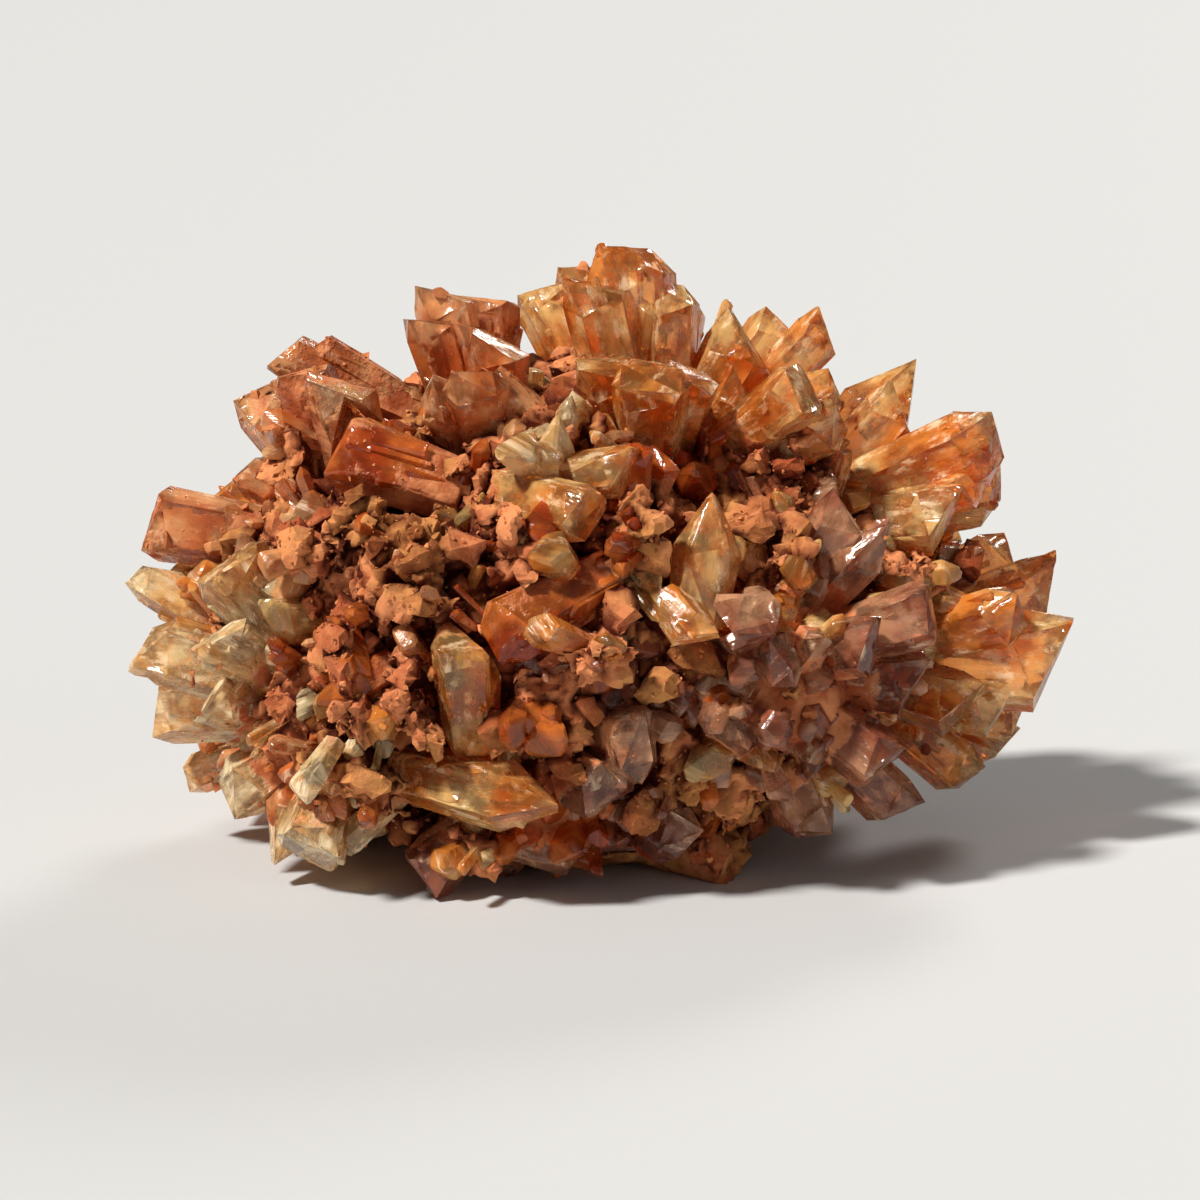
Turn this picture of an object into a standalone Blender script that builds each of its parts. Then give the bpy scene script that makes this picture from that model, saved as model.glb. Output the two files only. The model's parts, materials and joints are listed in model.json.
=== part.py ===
"""A creedite cluster: sprays of flat-faced honey-orange crystals that grow out of a lump of rust-coloured earth.

Metres, +Z up. The front faces -Y, +X is to the right, and the cluster rests on Z = 0.
Places on the front are given as they look from the front, from VIEW_TILT above the horizon:
millimetres across from the middle, millimetres up in that view, and millimetres back from the middle.
"""
import math
import random
from collections import namedtuple

import bmesh
import bpy
from mathutils import Matrix, Vector, noise

# Driving dimensions
MM = 0.001
VIEW_TILT = math.radians(12.0)
GAP = 0.3 * MM            # between two pieces that grew against each other
SOCKET_DEPTH = 1.0 * MM   # how far a buried end runs past the place where it is set
LIFT = (0.9, 2.8)         # how far a crystal's tip stands out of the earth behind it, in mm, least and most
LEAST_TIP_HEIGHT = 0.0    # the resting surface

# A lump of earth: middle and half sizes, in mm, in the part's own axes
Lobe = namedtuple("Lobe", "x y z rx ry rz")
EARTH_LOBES = [
    Lobe(-1.0, 0.0, 9.2, 14.0, 11.2, 10.6),    # the body
    Lobe(-10.6, -1.0, 8.4, 6.8, 8.6, 7.6),     # left end
    Lobe(-9.0, -0.5, 13.6, 5.2, 6.6, 4.8),     # left shoulder
    Lobe(0.5, 0.5, 15.5, 8.2, 7.4, 5.8),       # crest
    Lobe(9.0, 0.5, 9.8, 6.4, 8.2, 6.4),        # right end
]
EARTH_ROUGHNESS = 0.75 * MM
EARTH_GRAIN = 0.33 / MM   # how often the earth's swells repeat
EARTH_FLATNESS = 8.0      # the earth's faces this near to one plane, in degrees, are made one
EARTH_FACES_KEPT = 0.12   # the share of their faces that the joined lobes keep

# A crumb of earth stuck to the front: place as seen, in mm, with its half size
Crumb = namedtuple("Crumb", "across up size")
CRUMBS = [
    Crumb(-14.5, 14.2, 1.55), Crumb(-12.0, 12.3, 1.3), Crumb(-9.9, 13.4, 1.5), Crumb(-8.2, 12.5, 1.4),
    Crumb(-9.0, 10.7, 1.6), Crumb(-7.1, 11.6, 1.6), Crumb(-6.2, 10.0, 1.4), Crumb(-10.1, 8.4, 1.5),
    Crumb(-9.5, 6.0, 1.8), Crumb(-7.5, 5.6, 1.7), Crumb(-7.8, 7.9, 1.0), Crumb(-12.3, 9.1, 1.0),
    Crumb(-12.6, 16.2, 1.8), Crumb(-14.2, 16.0, 1.3), Crumb(-12.4, 18.2, 1.9), Crumb(-8.8, 19.2, 1.6),
    Crumb(-11.3, 3.3, 1.7), Crumb(-9.0, 2.8, 1.9), Crumb(-7.0, 0.9, 1.4), Crumb(-17.8, 4.6, 1.3),
    Crumb(-3.0, 12.1, 1.4), Crumb(-4.7, 13.8, 1.2), Crumb(1.5, 13.0, 1.6), Crumb(7.4, 12.2, 1.1),
    Crumb(10.3, 11.1, 1.2), Crumb(-0.3, 7.9, 1.7), Crumb(-2.6, 15.9, 1.1), Crumb(4.4, 17.2, 1.3),
    Crumb(7.0, 17.3, 1.0), Crumb(3.4, 6.9, 1.3), Crumb(-4.0, 3.0, 1.6), Crumb(-11.0, 14.9, 1.1),
]
# Lumps on the far side and underneath, spread evenly over the lobes
FAR_LUMPS = 11
FAR_LUMP_SIZE = (1.6, 2.8)
LUMP_CORNERS = 8
# Hollows in the earth, as seen, in mm: the shaded cave under the crest's arch, and pits between the crystals
HOLLOWS = [Crumb(4.6, 15.4, 2.7), Crumb(-1.0, 10.2, 1.5), Crumb(1.0, 6.0, 2.0), Crumb(-8.9, 15.0, 1.2)]

# A crystal of a spray: its tip as seen, in mm, its width and thickness in mm, how far its broad face is turned
# from the viewer, in degrees, the form of its end, and how many shorter blades have grown along it
Blade = namedtuple("Blade", "across up back width thick turn end more")
Spray = namedtuple("Spray", "focus knot blades")

SPRAYS = {
    "crest_spray": Spray((2.0, 1.6, 14.0), 5.0, [
        Blade(1.0, 25.2, 0.4, 3.9, 2.2, 12, "chisel", 1),
        Blade(-0.5, 24.0, -0.6, 3.1, 1.8, 0, "slant", 0),
        Blade(-0.9, 24.9, 5.6, 3.4, 2.5, 0, "chisel", 0),
        Blade(-2.6, 23.7, 4.6, 3.2, 2.3, 10, "blunt", 0),
        Blade(3.4, 23.3, 2.4, 2.2, 1.8, 15, "chisel", 0),
        Blade(6.4, 21.8, 0.0, 3.4, 1.7, -15, "slant", 1),
        Blade(7.9, 22.0, 3.0, 3.1, 2.1, 0, "blunt", 0),
        Blade(9.7, 22.1, 1.6, 2.2, 1.8, 10, "slant", 0),
        Blade(9.9, 19.3, 0.2, 2.5, 1.8, 0, "chisel", 0),
        Blade(8.3, 19.0, -4.2, 2.6, 2.0, 0, "blunt", 0),
        Blade(9.9, 17.8, -3.0, 2.5, 2.0, 20, "chisel", 0),
        Blade(1.9, 19.3, -7.0, 3.2, 2.3, 0, "blunt", 0),
        Blade(3.7, 19.8, -5.4, 2.5, 1.8, 20, "slant", 0),
        Blade(0.0, 20.2, -5.6, 2.9, 2.0, 0, "slant", 0),
    ]),
    "crest_slabs": Spray((-4.6, 1.6, 13.4), 4.6, [
        Blade(-6.8, 23.7, 0.6, 2.8, 2.1, 0, "slant", 1),
        Blade(-7.5, 22.3, -0.6, 2.2, 1.7, 20, "slant", 0),
        Blade(-5.0, 23.2, 1.4, 2.9, 2.0, -8, "blunt", 0),
        Blade(-4.3, 21.3, -3.0, 2.6, 1.7, 0, "slant", 0),
        Blade(-6.9, 19.3, -5.4, 2.1, 1.4, 25, "point", 0),
        Blade(-5.2, 19.5, -6.0, 2.8, 1.4, 0, "chisel", 0),
        Blade(-3.3, 19.2, -6.4, 2.8, 1.4, -15, "slant", 0),
    ]),
    "shoulder_spray": Spray((-9.4, 0.0, 12.2), 4.2, [
        Blade(-19.2, 13.6, -1.0, 3.2, 2.9, 0, "blunt", 0),
        Blade(-17.8, 13.0, 3.0, 2.6, 2.1, 0, "chisel", 0),
        Blade(-14.9, 19.2, 0.8, 2.7, 2.3, 0, "chisel", 0),
        Blade(-15.4, 16.0, 1.6, 2.2, 1.8, 0, "chisel", 0),
        Blade(-12.6, 20.0, -1.2, 2.7, 2.1, 10, "blunt", 0),
        Blade(-10.9, 19.6, -4.4, 2.9, 2.0, 0, "slant", 0),
        Blade(-11.6, 19.9, 3.6, 2.5, 2.1, 0, "chisel", 0),
    ]),
    "left_fan": Spray((-10.4, -3.4, 6.4), 4.6, [
        Blade(-19.6, 11.5, -2.2, 2.0, 1.6, 0, "chisel", 0),
        Blade(-19.2, 8.5, -4.2, 2.9, 1.8, 0, "chisel", 0),
        Blade(-15.4, 12.0, -7.2, 3.5, 2.0, 15, "blunt", 1),
        Blade(-16.0, 9.2, -7.6, 2.8, 1.6, 0, "slant", 0),
        Blade(-18.8, 5.6, -2.0, 2.8, 2.4, 0, "blunt", 0),
        Blade(-17.9, 2.6, -0.4, 1.8, 1.6, 0, "chisel", 0),
        Blade(-15.7, 2.0, -6.2, 2.8, 2.1, 0, "chisel", 0),
        Blade(-13.6, -0.6, -7.4, 2.8, 2.3, 10, "point", 0),
        Blade(-12.0, -0.2, -8.8, 3.0, 2.6, 0, "blunt", 0),
        Blade(-16.6, 6.3, -6.6, 2.5, 1.6, 0, "slant", 0),
    ]),
    "upper_right_spray": Spray((7.8, 1.4, 13.4), 3.8, [
        Blade(13.6, 20.5, 4.6, 3.6, 2.4, 10, "point", 0),
        Blade(13.0, 18.9, 1.6, 2.7, 2.0, 0, "slant", 0),
        Blade(16.7, 17.1, -1.2, 3.6, 2.4, 15, "chisel", 1),
        Blade(17.3, 15.6, 2.6, 3.8, 1.8, 0, "chisel", 0),
        Blade(15.0, 13.7, -2.6, 3.2, 2.0, -10, "slant", 0),
    ]),
    "right_spray": Spray((9.2, 1.0, 7.6), 4.6, [
        Blade(18.1, 12.4, 6.0, 2.8, 2.1, 0, "chisel", 0),
        Blade(19.7, 11.1, 3.0, 3.0, 2.0, 20, "slant", 0),
        Blade(19.8, 7.7, -3.0, 4.4, 3.0, 10, "slant", 1),
        Blade(17.5, 9.8, -3.9, 2.9, 2.0, 25, "chisel", 0),
        Blade(18.0, 5.1, 2.8, 2.5, 2.1, 0, "blunt", 0),
        Blade(17.8, 3.8, 3.6, 2.4, 1.8, 0, "slant", 0),
        Blade(16.0, 2.4, 1.0, 2.5, 2.1, 0, "chisel", 0),
        Blade(15.6, 5.6, -4.2, 2.9, 2.2, 0, "slant", 0),
    ]),
    "front_spray": Spray((6.2, -5.4, 8.8), 4.9, [
        Blade(10.2, 14.3, -8.4, 2.7, 2.0, 0, "slant", 1),
        Blade(11.6, 13.4, -7.2, 2.4, 1.7, 30, "point", 0),
        Blade(13.4, 9.9, -8.0, 2.7, 2.1, 0, "blunt", 0),
        Blade(8.9, 8.7, -11.0, 2.4, 1.7, 0, "point", 0),
        Blade(11.1, 8.6, -9.8, 2.5, 1.7, 0, "slant", 0),
        Blade(11.5, 3.4, -8.6, 2.7, 2.3, 0, "blunt", 0),
        Blade(5.5, 9.9, -11.4, 2.9, 2.3, 0, "blunt", 0),
        Blade(7.0, 8.0, -11.4, 2.6, 1.6, 0, "chisel", 0),
        Blade(4.9, 4.6, -10.8, 2.6, 2.0, 0, "chisel", 0),
        Blade(8.6, 0.4, -6.6, 2.5, 2.0, 0, "chisel", 0),
        Blade(12.6, 1.2, -4.6, 2.5, 1.8, 0, "slant", 0),
        Blade(13.2, 6.8, -7.4, 2.6, 1.8, 0, "slant", 0),
    ]),
    "foot_spray": Spray((-2.0, -4.8, 5.2), 4.6, [
        Blade(1.9, 4.8, -11.4, 3.5, 2.0, 0, "chisel", 1),
        Blade(-2.6, -0.7, -9.0, 2.9, 1.7, 0, "blunt", 0),
        Blade(-4.9, -1.2, -9.2, 2.4, 1.8, 0, "chisel", 0),
        Blade(-7.6, -1.2, -8.8, 2.5, 2.0, 0, "blunt", 0),
        Blade(0.4, -0.4, -8.2, 2.6, 2.0, 0, "slant", 0),
        Blade(3.6, 0.2, -8.4, 2.6, 2.0, 0, "chisel", 0),
        Blade(-0.4, 2.6, -10.8, 2.7, 2.1, 0, "blunt", 0),
    ]),
}

# A crystal that stands alone in the earth's front: its tip and its buried end as seen, each with how far it stands
# out of the earth towards the viewer, then as for a Blade
Single = namedtuple("Single", "tip root width thick turn end more")
SINGLES = {
    "shoulder_blade": Single((-14.0, 20.9, 0.6), (-8.4, 18.4, -0.6), 2.1, 1.5, 10, "slant", 1),
    "red_prism": Single((-10.9, 16.4, 1.5), (-6.6, 14.9, -1.2), 3.4, 3.0, 10, "blunt", 0),
    "pointed_crystal": Single((4.4, 14.6, 1.9), (3.8, 10.2, -0.6), 2.9, 2.2, 0, "point", 0),
    "orange_wedge": Single((1.5, 15.4, 1.6), (-1.6, 15.2, -0.7), 2.2, 2.0, 0, "slant", 0),
    "glassy_block": Single((-0.5, 13.5, 1.6), (-3.4, 14.5, -0.8), 2.4, 2.0, 0, "blunt", 0),
    "rust_wedge": Single((-4.7, 8.5, 1.2), (-0.6, 10.8, -1.2), 3.0, 2.4, 20, "chisel", 0),
    "chisel_block": Single((-5.4, 8.9, 1.8), (-5.3, 5.4, -1.0), 2.8, 2.4, 0, "blunt", 0),
    "cone_crystal": Single((-1.7, 2.0, 1.9), (-7.4, 3.2, -0.8), 3.0, 2.8, 0, "point", 0),
    "yellow_chip": Single((3.9, 8.4, 1.6), (2.0, 11.0, -0.6), 1.9, 1.5, 0, "slant", 0),
    "white_shard": Single((-1.3, 18.6, 1.8), (-1.7, 16.2, -0.6), 1.1, 0.9, 0, "point", 0),
}

# A spray that the photograph doesn't show: its focus, its middle direction, how wide it opens, and how many crystals
HiddenSpray = namedtuple("HiddenSpray", "focus knot direction opening count")
HIDDEN_SPRAYS = {
    "back_spray": HiddenSpray((1.2, 4.6, 8.4), 6.0, (0.05, 1.0, 0.25), 72, 10),
    "back_left_spray": HiddenSpray((-9.4, 2.6, 7.6), 4.8, (-0.6, 0.8, 0.1), 66, 6),
    "back_right_spray": HiddenSpray((8.2, 4.6, 4.8), 3.6, (0.55, 0.9, -0.1), 56, 5),
}
HIDDEN_WIDTH = (2.6, 4.4)
HIDDEN_REACH = (1.4, 3.6)
HIDDEN_ENDS = ("chisel", "chisel", "slant", "blunt", "point")

# The cross-section of a crystal, as shares of its half width and half thickness
SECTION = [(1.0, 0.0), (0.58, 1.0), (-0.58, 1.0), (-1.0, 0.0), (-0.58, -1.0), (0.58, -1.0)]
# The corners that close a crystal's end: shares of the half width and half thickness, and how many widths below the tip
END_CORNERS = {
    "point": [(0.12, 0.2, 0.0), (-0.1, -0.2, 0.08)],
    "chisel": [(0.66, 0.12, 0.0), (-0.5, -0.1, 0.12)],
    "slant": [(0.8, 0.42, 0.0), (0.78, -0.4, 0.06), (-0.5, 0.1, 0.42)],
    "blunt": [(0.8, 0.62, 0.0), (-0.74, 0.66, 0.1), (-0.8, -0.56, 0.2), (0.74, -0.62, 0.08)],
}
SHOULDER = {"point": 0.85, "chisel": 0.42, "slant": 0.46, "blunt": 0.24}   # widths below the tip
SHOULDER_SKEW = 0.16      # how unevenly the end's faces start, in widths
ROOT_SHARE = 0.74         # a spray's crystals widen a little from the focus outwards

COLOURS = {
    "earth": ((0.42, 0.15, 0.06, 1.0), 0.95),
    "crystal": ((0.62, 0.27, 0.09, 1.0), 0.2),
    "pale_crystal": ((0.72, 0.55, 0.32, 1.0), 0.15),
    "red_crystal": ((0.4, 0.1, 0.04, 1.0), 0.25),
}
NODE_COLOURS = {
    "earth_matrix": "earth", "left_fan": "pale_crystal", "white_shard": "pale_crystal", "red_prism": "red_crystal",
}


def seen(across, up, back):
    """The point that the front view shows at this place and depth, in metres."""
    height = (up - back * math.sin(VIEW_TILT)) / math.cos(VIEW_TILT)
    return Vector((across, back, height)) * MM


def towards_viewer():
    return Vector((0.0, -math.cos(VIEW_TILT), math.sin(VIEW_TILT)))


def outside_earth(point):
    """How far outside the smooth lobes of earth a point lies, in metres, roughly. Negative inside."""
    distances = []
    for lobe in EARTH_LOBES:
        shares = Vector(((point.x / MM - lobe.x) / lobe.rx, (point.y / MM - lobe.y) / lobe.ry,
                         (point.z / MM - lobe.z) / lobe.rz))
        distances.append((shares.length - 1.0) * min(lobe.rx, lobe.ry, lobe.rz) * MM)
    return min(distances)


def skin_from_front(across, up):
    """Where the front view's line at this place first meets the earth, or passes nearest to it."""
    nearest = None
    for step in range(-160, 161):
        point = seen(across, up, step * 0.1)
        away = outside_earth(point)
        if nearest is None or away < nearest[0]:
            nearest = (away, point)
        if away < 0.0:
            return point
    return nearest[1]


def lifted(across, up, lift):
    """The point that the front view shows at this place, a lift in mm in front of the earth's skin."""
    return skin_from_front(across, up) + towards_viewer() * lift * MM


def tip_in_view(blade):
    """A spray crystal's tip. In front of the earth it stays near the skin, and past the outline it is free."""
    back = blade.back
    skin = skin_from_front(blade.across, blade.up)
    if outside_earth(skin) < 0.0:
        skin_back = skin.y / MM
        back = min(max(back, skin_back - LIFT[1]), skin_back - LIFT[0])
    return seen(blade.across, blade.up, back)


def skin_along(start, direction):
    """How far from a buried start the earth's skin is, in this direction."""
    reach = 0.0
    while outside_earth(start + direction * reach) < 0.0:
        reach += 0.2 * MM
    return reach


def mesh_object(name, mesh):
    made = bpy.data.objects.new(name, mesh)
    bpy.context.scene.collection.objects.link(made)
    return made


def hull_object(name, points):
    """The convex solid round some points."""
    shape = bmesh.new()
    for point in points:
        shape.verts.new(point)
    hull = bmesh.ops.convex_hull(shape, input=shape.verts)
    spare = {v for v in hull["geom_interior"] + hull["geom_unused"] if isinstance(v, bmesh.types.BMVert)}
    bmesh.ops.delete(shape, geom=list(spare), context="VERTS")
    bmesh.ops.recalc_face_normals(shape, faces=shape.faces)
    mesh = bpy.data.meshes.new(name)
    shape.to_mesh(mesh)
    shape.free()
    return mesh_object(name, mesh)


def crystal_frame(root, tip, turn, facing):
    """Axes for a crystal: Z along it, and Y out of its broad face, which faces the viewer before it is turned."""
    along = (tip - root).normalized()
    across = facing.cross(along)
    if across.length < 0.05:
        across = Vector((1.0, 0.0, 0.0)).cross(along)
    across.normalize()
    axes = Matrix((across, along.cross(across), along)).transposed()
    return Matrix.Translation(root) @ axes.to_4x4() @ Matrix.Rotation(math.radians(turn), 4, "Z")


def crystal_object(name, root, tip, width, thick, turn, end, root_share, facing):
    """One straight crystal with flat faces."""
    length = (tip - root).length
    points = []
    for across, out in SECTION:
        corner = Vector((across * width / 2, out * thick / 2, 0.0))
        start = length - width * (SHOULDER[end] + SHOULDER_SKEW * across * out)
        points.append(corner * root_share - Vector((0.0, 0.0, SOCKET_DEPTH)))
        points.append(corner + Vector((0.0, 0.0, max(start, 0.3 * length))))
    for across, out, below in END_CORNERS[end]:
        points.append(Vector((across * width / 2, out * thick / 2, length - below * width)))
    frame = crystal_frame(root, tip, turn, facing)
    return hull_object(name, [frame @ point for point in points])


def clearance_object(name, root, tip, width, thick, turn, root_share, facing):
    """The four-sided box, wider than a crystal by the gap, that nothing else grows into."""
    length = (tip - root).length
    points = []
    for across, out in ((1, 1), (-1, 1), (-1, -1), (1, -1)):
        gap = Vector((across * GAP, out * GAP, 0.0))
        corner = Vector((across * width / 2, out * thick / 2, 0.0))
        points.append(corner * root_share + gap - Vector((0.0, 0.0, SOCKET_DEPTH + GAP)))
        points.append(corner + gap + Vector((0.0, 0.0, 0.5 * length)))
        points.append(corner + gap + Vector((0.0, 0.0, length + GAP)))
    frame = crystal_frame(root, tip, turn, facing)
    return hull_object(name, [frame @ point for point in points])


def grown_together(name, root, tip, width, thick, turn, end, more, root_share, facing, clearance):
    """A crystal with the shorter blades that have grown along it, or the clearances of all of them."""
    dice = random.Random(name)
    sizes = [(root, tip, width, thick, turn)]
    frame = crystal_frame(root, tip, turn, facing)
    for number in range(more):
        side = 1 if number % 2 else -1
        step = Vector((side * dice.uniform(0.28, 0.42) * width, dice.uniform(0.12, 0.34) * thick, 0.0))
        shift = frame.to_3x3() @ step
        shorter = root.lerp(tip, dice.uniform(0.74, 0.9))
        sizes.append((root + shift * 0.4, shorter + shift, width * dice.uniform(0.6, 0.8),
                      thick * dice.uniform(0.7, 0.95), turn + dice.uniform(-9, 9)))
    if clearance:
        return [clearance_object(name, *size, root_share, facing) for size in sizes]
    return [crystal_object(name, *size, end, root_share, facing) for size in sizes]


def ball_object(name, middle, radii, detail, roughness, frequency):
    """A rounded lump whose surface swells and dips by `roughness`."""
    shape = bmesh.new()
    bmesh.ops.create_icosphere(shape, subdivisions=detail, radius=1.0)
    for vert in shape.verts:
        outward = vert.co.copy()
        vert.co = Vector((outward.x * radii[0], outward.y * radii[1], outward.z * radii[2])) + middle
        vert.co += outward * roughness * noise.fractal(vert.co * frequency, 0.9, 2.1, 3)
    mesh = bpy.data.meshes.new(name)
    shape.to_mesh(mesh)
    shape.free()
    return mesh_object(name, mesh)


def lump_object(name, middle, size):
    """An angular lump with flat faces, from corners drawn round a sphere."""
    dice = random.Random(name)
    corners = []
    for direction in spiral_directions(Vector((0.0, 0.0, 1.0)), 180, LUMP_CORNERS):
        drawn = Vector((dice.gauss(0.0, 0.34), dice.gauss(0.0, 0.34), dice.gauss(0.0, 0.34)))
        corners.append(middle + (direction + drawn).normalized() * size * dice.uniform(0.85, 1.2))
    return hull_object(name, corners)


def spray_pieces(name, clearance):
    """The crystals of a spray and the knot that they start from, as separate solids."""
    spray = SPRAYS[name]
    focus = Vector(spray.focus) * MM
    knot = spray.knot * MM + (GAP if clearance else 0.0)
    pieces = [ball_object(f"{name}_knot", focus, (knot,) * 3, 1, 0.0, 1.0)]
    for number, blade in enumerate(spray.blades):
        tip = tip_in_view(blade)
        pieces += grown_together(f"{name}_{number}", focus, tip, blade.width * MM, blade.thick * MM, blade.turn,
                                 blade.end, blade.more, ROOT_SHARE, towards_viewer(), clearance)
    return pieces


def single_pieces(name, clearance):
    single = SINGLES[name]
    return grown_together(name, lifted(*single.root), lifted(*single.tip), single.width * MM, single.thick * MM,
                          single.turn, single.end, single.more, 0.8, towards_viewer(), clearance)


def spiral_directions(middle, opening, count):
    """Directions spread evenly over a cone round the middle one."""
    turn = middle.to_track_quat("Z", "Y")
    widest = 1.0 - math.cos(math.radians(opening))
    for number in range(count):
        height = 1.0 - widest * (number + 0.5) / count
        ring = math.sqrt(1.0 - height * height)
        angle = number * math.pi * (3.0 - math.sqrt(5.0))
        yield turn @ Vector((ring * math.cos(angle), ring * math.sin(angle), height))


def hidden_pieces(name, clearance):
    """The crystals of a spray on the far side, spread evenly and varied by a seeded draw."""
    spray = HIDDEN_SPRAYS[name]
    dice = random.Random(name)
    focus = Vector(spray.focus) * MM
    knot = spray.knot * MM + (GAP if clearance else 0.0)
    pieces = [ball_object(f"{name}_knot", focus, (knot,) * 3, 1, 0.0, 1.0)]
    middle = Vector(spray.direction).normalized()
    for number, direction in enumerate(spiral_directions(middle, spray.opening, spray.count)):
        reach = skin_along(focus, direction) + dice.uniform(*HIDDEN_REACH) * MM
        width = dice.uniform(*HIDDEN_WIDTH) * MM
        thick = width * dice.uniform(0.55, 0.85)
        pieces += grown_together(f"{name}_{number}", focus, focus + direction * reach, width, thick,
                                 dice.uniform(-90, 90), dice.choice(HIDDEN_ENDS), 0, ROOT_SHARE,
                                 direction.orthogonal(), clearance)
    return pieces


def crystal_pieces(name, clearance=False):
    if name in SPRAYS:
        return spray_pieces(name, clearance)
    if name in SINGLES:
        return single_pieces(name, clearance)
    return hidden_pieces(name, clearance)


def evaluated(name, source):
    """A new object that holds what the source's modifiers make."""
    bpy.context.view_layer.update()
    graph = bpy.context.evaluated_depsgraph_get()
    mesh = bpy.data.meshes.new_from_object(source.evaluated_get(graph))
    made = mesh_object(name, mesh)
    bpy.data.objects.remove(source)
    return made


def box_of(thing):
    places = [vert.co for vert in thing.data.vertices]
    return Vector(map(min, zip(*places))), Vector(map(max, zip(*places)))


def boxes_meet(one, other):
    (low, high), (other_low, other_high) = box_of(one), box_of(other)
    return all(low[axis] < other_high[axis] and other_low[axis] < high[axis] for axis in range(3))


def combine(name, base, others, operation):
    """One solid from the base and the others that it meets, one Boolean after another.

    The solver is Manifold because Exact doesn't finish on so many crystals that all cross in one place.
    """
    for number, other in enumerate(others):
        if operation == "DIFFERENCE" and not boxes_meet(base, other):
            continue
        modifier = base.modifiers.new(f"{operation.title()} {number}", "BOOLEAN")
        modifier.operation = operation
        modifier.object = other
        modifier.solver = "MANIFOLD"
    return evaluated(name, base)


def joined(name, pieces):
    """One solid from pieces that cross each other. They are used up."""
    made = combine(name, pieces[0], pieces[1:], "UNION")
    for piece in pieces[1:]:
        bpy.data.objects.remove(piece)
    return made


def cut_at_rest(made):
    """Cuts off flat what would reach below the resting surface."""
    shape = bmesh.new()
    shape.from_mesh(made.data)
    cut = bmesh.ops.bisect_plane(shape, geom=shape.verts[:] + shape.edges[:] + shape.faces[:], dist=1e-7,
                                 plane_co=(0.0, 0.0, LEAST_TIP_HEIGHT), plane_no=(0.0, 0.0, -1.0), clear_outer=True)
    rim = [edge for edge in cut["geom_cut"] if isinstance(edge, bmesh.types.BMEdge)]
    if rim:
        bmesh.ops.holes_fill(shape, edges=rim)
    shape.to_mesh(made.data)
    shape.free()


def islands(shape):
    """The bodies of a mesh, as sets of faces. Two that only touch along an edge are two."""
    left = set(shape.faces)
    while left:
        body = set()
        waiting = [left.pop()]
        while waiting:
            face = waiting.pop()
            body.add(face)
            for edge in face.edges:
                if len(edge.link_faces) != 2:
                    continue
                for other in edge.link_faces:
                    if other in left:
                        left.remove(other)
                        waiting.append(other)
        yield body


def spread_of(faces):
    """The length of the box round some faces, from corner to corner."""
    places = [vert.co for face in faces for vert in face.verts]
    low = Vector(map(min, zip(*places)))
    high = Vector(map(max, zip(*places)))
    return (high - low).length


def drop_small_bodies(shape):
    """Leaves only the widest of a mesh's bodies, without cut-off crumbs and closed voids."""
    bodies = sorted(islands(shape), key=spread_of)
    spare = [face for body in bodies[:-1] for face in body]
    bmesh.ops.delete(shape, geom=spare, context="FACES")
    loose = [vert for vert in shape.verts if not vert.link_faces]
    bmesh.ops.delete(shape, geom=loose, context="VERTS")


def keep_main_body(made, flatness=0.5):
    """Drops small bodies, welds what nearly meets, and joins faces within `flatness` degrees."""
    shape = bmesh.new()
    shape.from_mesh(made.data)
    bmesh.ops.remove_doubles(shape, verts=shape.verts, dist=0.004 * MM)
    bmesh.ops.dissolve_degenerate(shape, edges=shape.edges, dist=0.004 * MM)
    drop_small_bodies(shape)
    bmesh.ops.dissolve_limit(shape, angle_limit=math.radians(flatness), verts=shape.verts, edges=shape.edges)
    bmesh.ops.triangulate(shape, faces=shape.faces)
    drop_small_bodies(shape)
    shape.to_mesh(made.data)
    shape.free()


def crystal_nodes():
    """Every spray and single crystal, and its clearance solid. A later one stops short of those already there."""
    made = []
    clearances = []
    for name in list(SINGLES) + list(SPRAYS) + list(HIDDEN_SPRAYS):
        node = combine(name, joined(name, crystal_pieces(name)), clearances, "DIFFERENCE")
        cut_at_rest(node)
        keep_main_body(node)
        clearances.append(joined(f"{name}_clearance", crystal_pieces(name, clearance=True)))
        made.append(node)
    return made, clearances


def far_lumps():
    """Lumps of earth on the far side and the underside, where no crystal spray has its place."""
    dice = random.Random("far lumps")
    start = Vector((-1.0, 0.0, 9.5)) * MM
    lumps = []
    for number, direction in enumerate(spiral_directions(Vector((0.0, 0.75, -0.65)), 100, FAR_LUMPS)):
        size = dice.uniform(*FAR_LUMP_SIZE) * MM
        middle = start + direction * (skin_along(start, direction) - 0.3 * size)
        lumps.append(lump_object(f"far_lump_{number}", middle, size))
    return lumps


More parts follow.
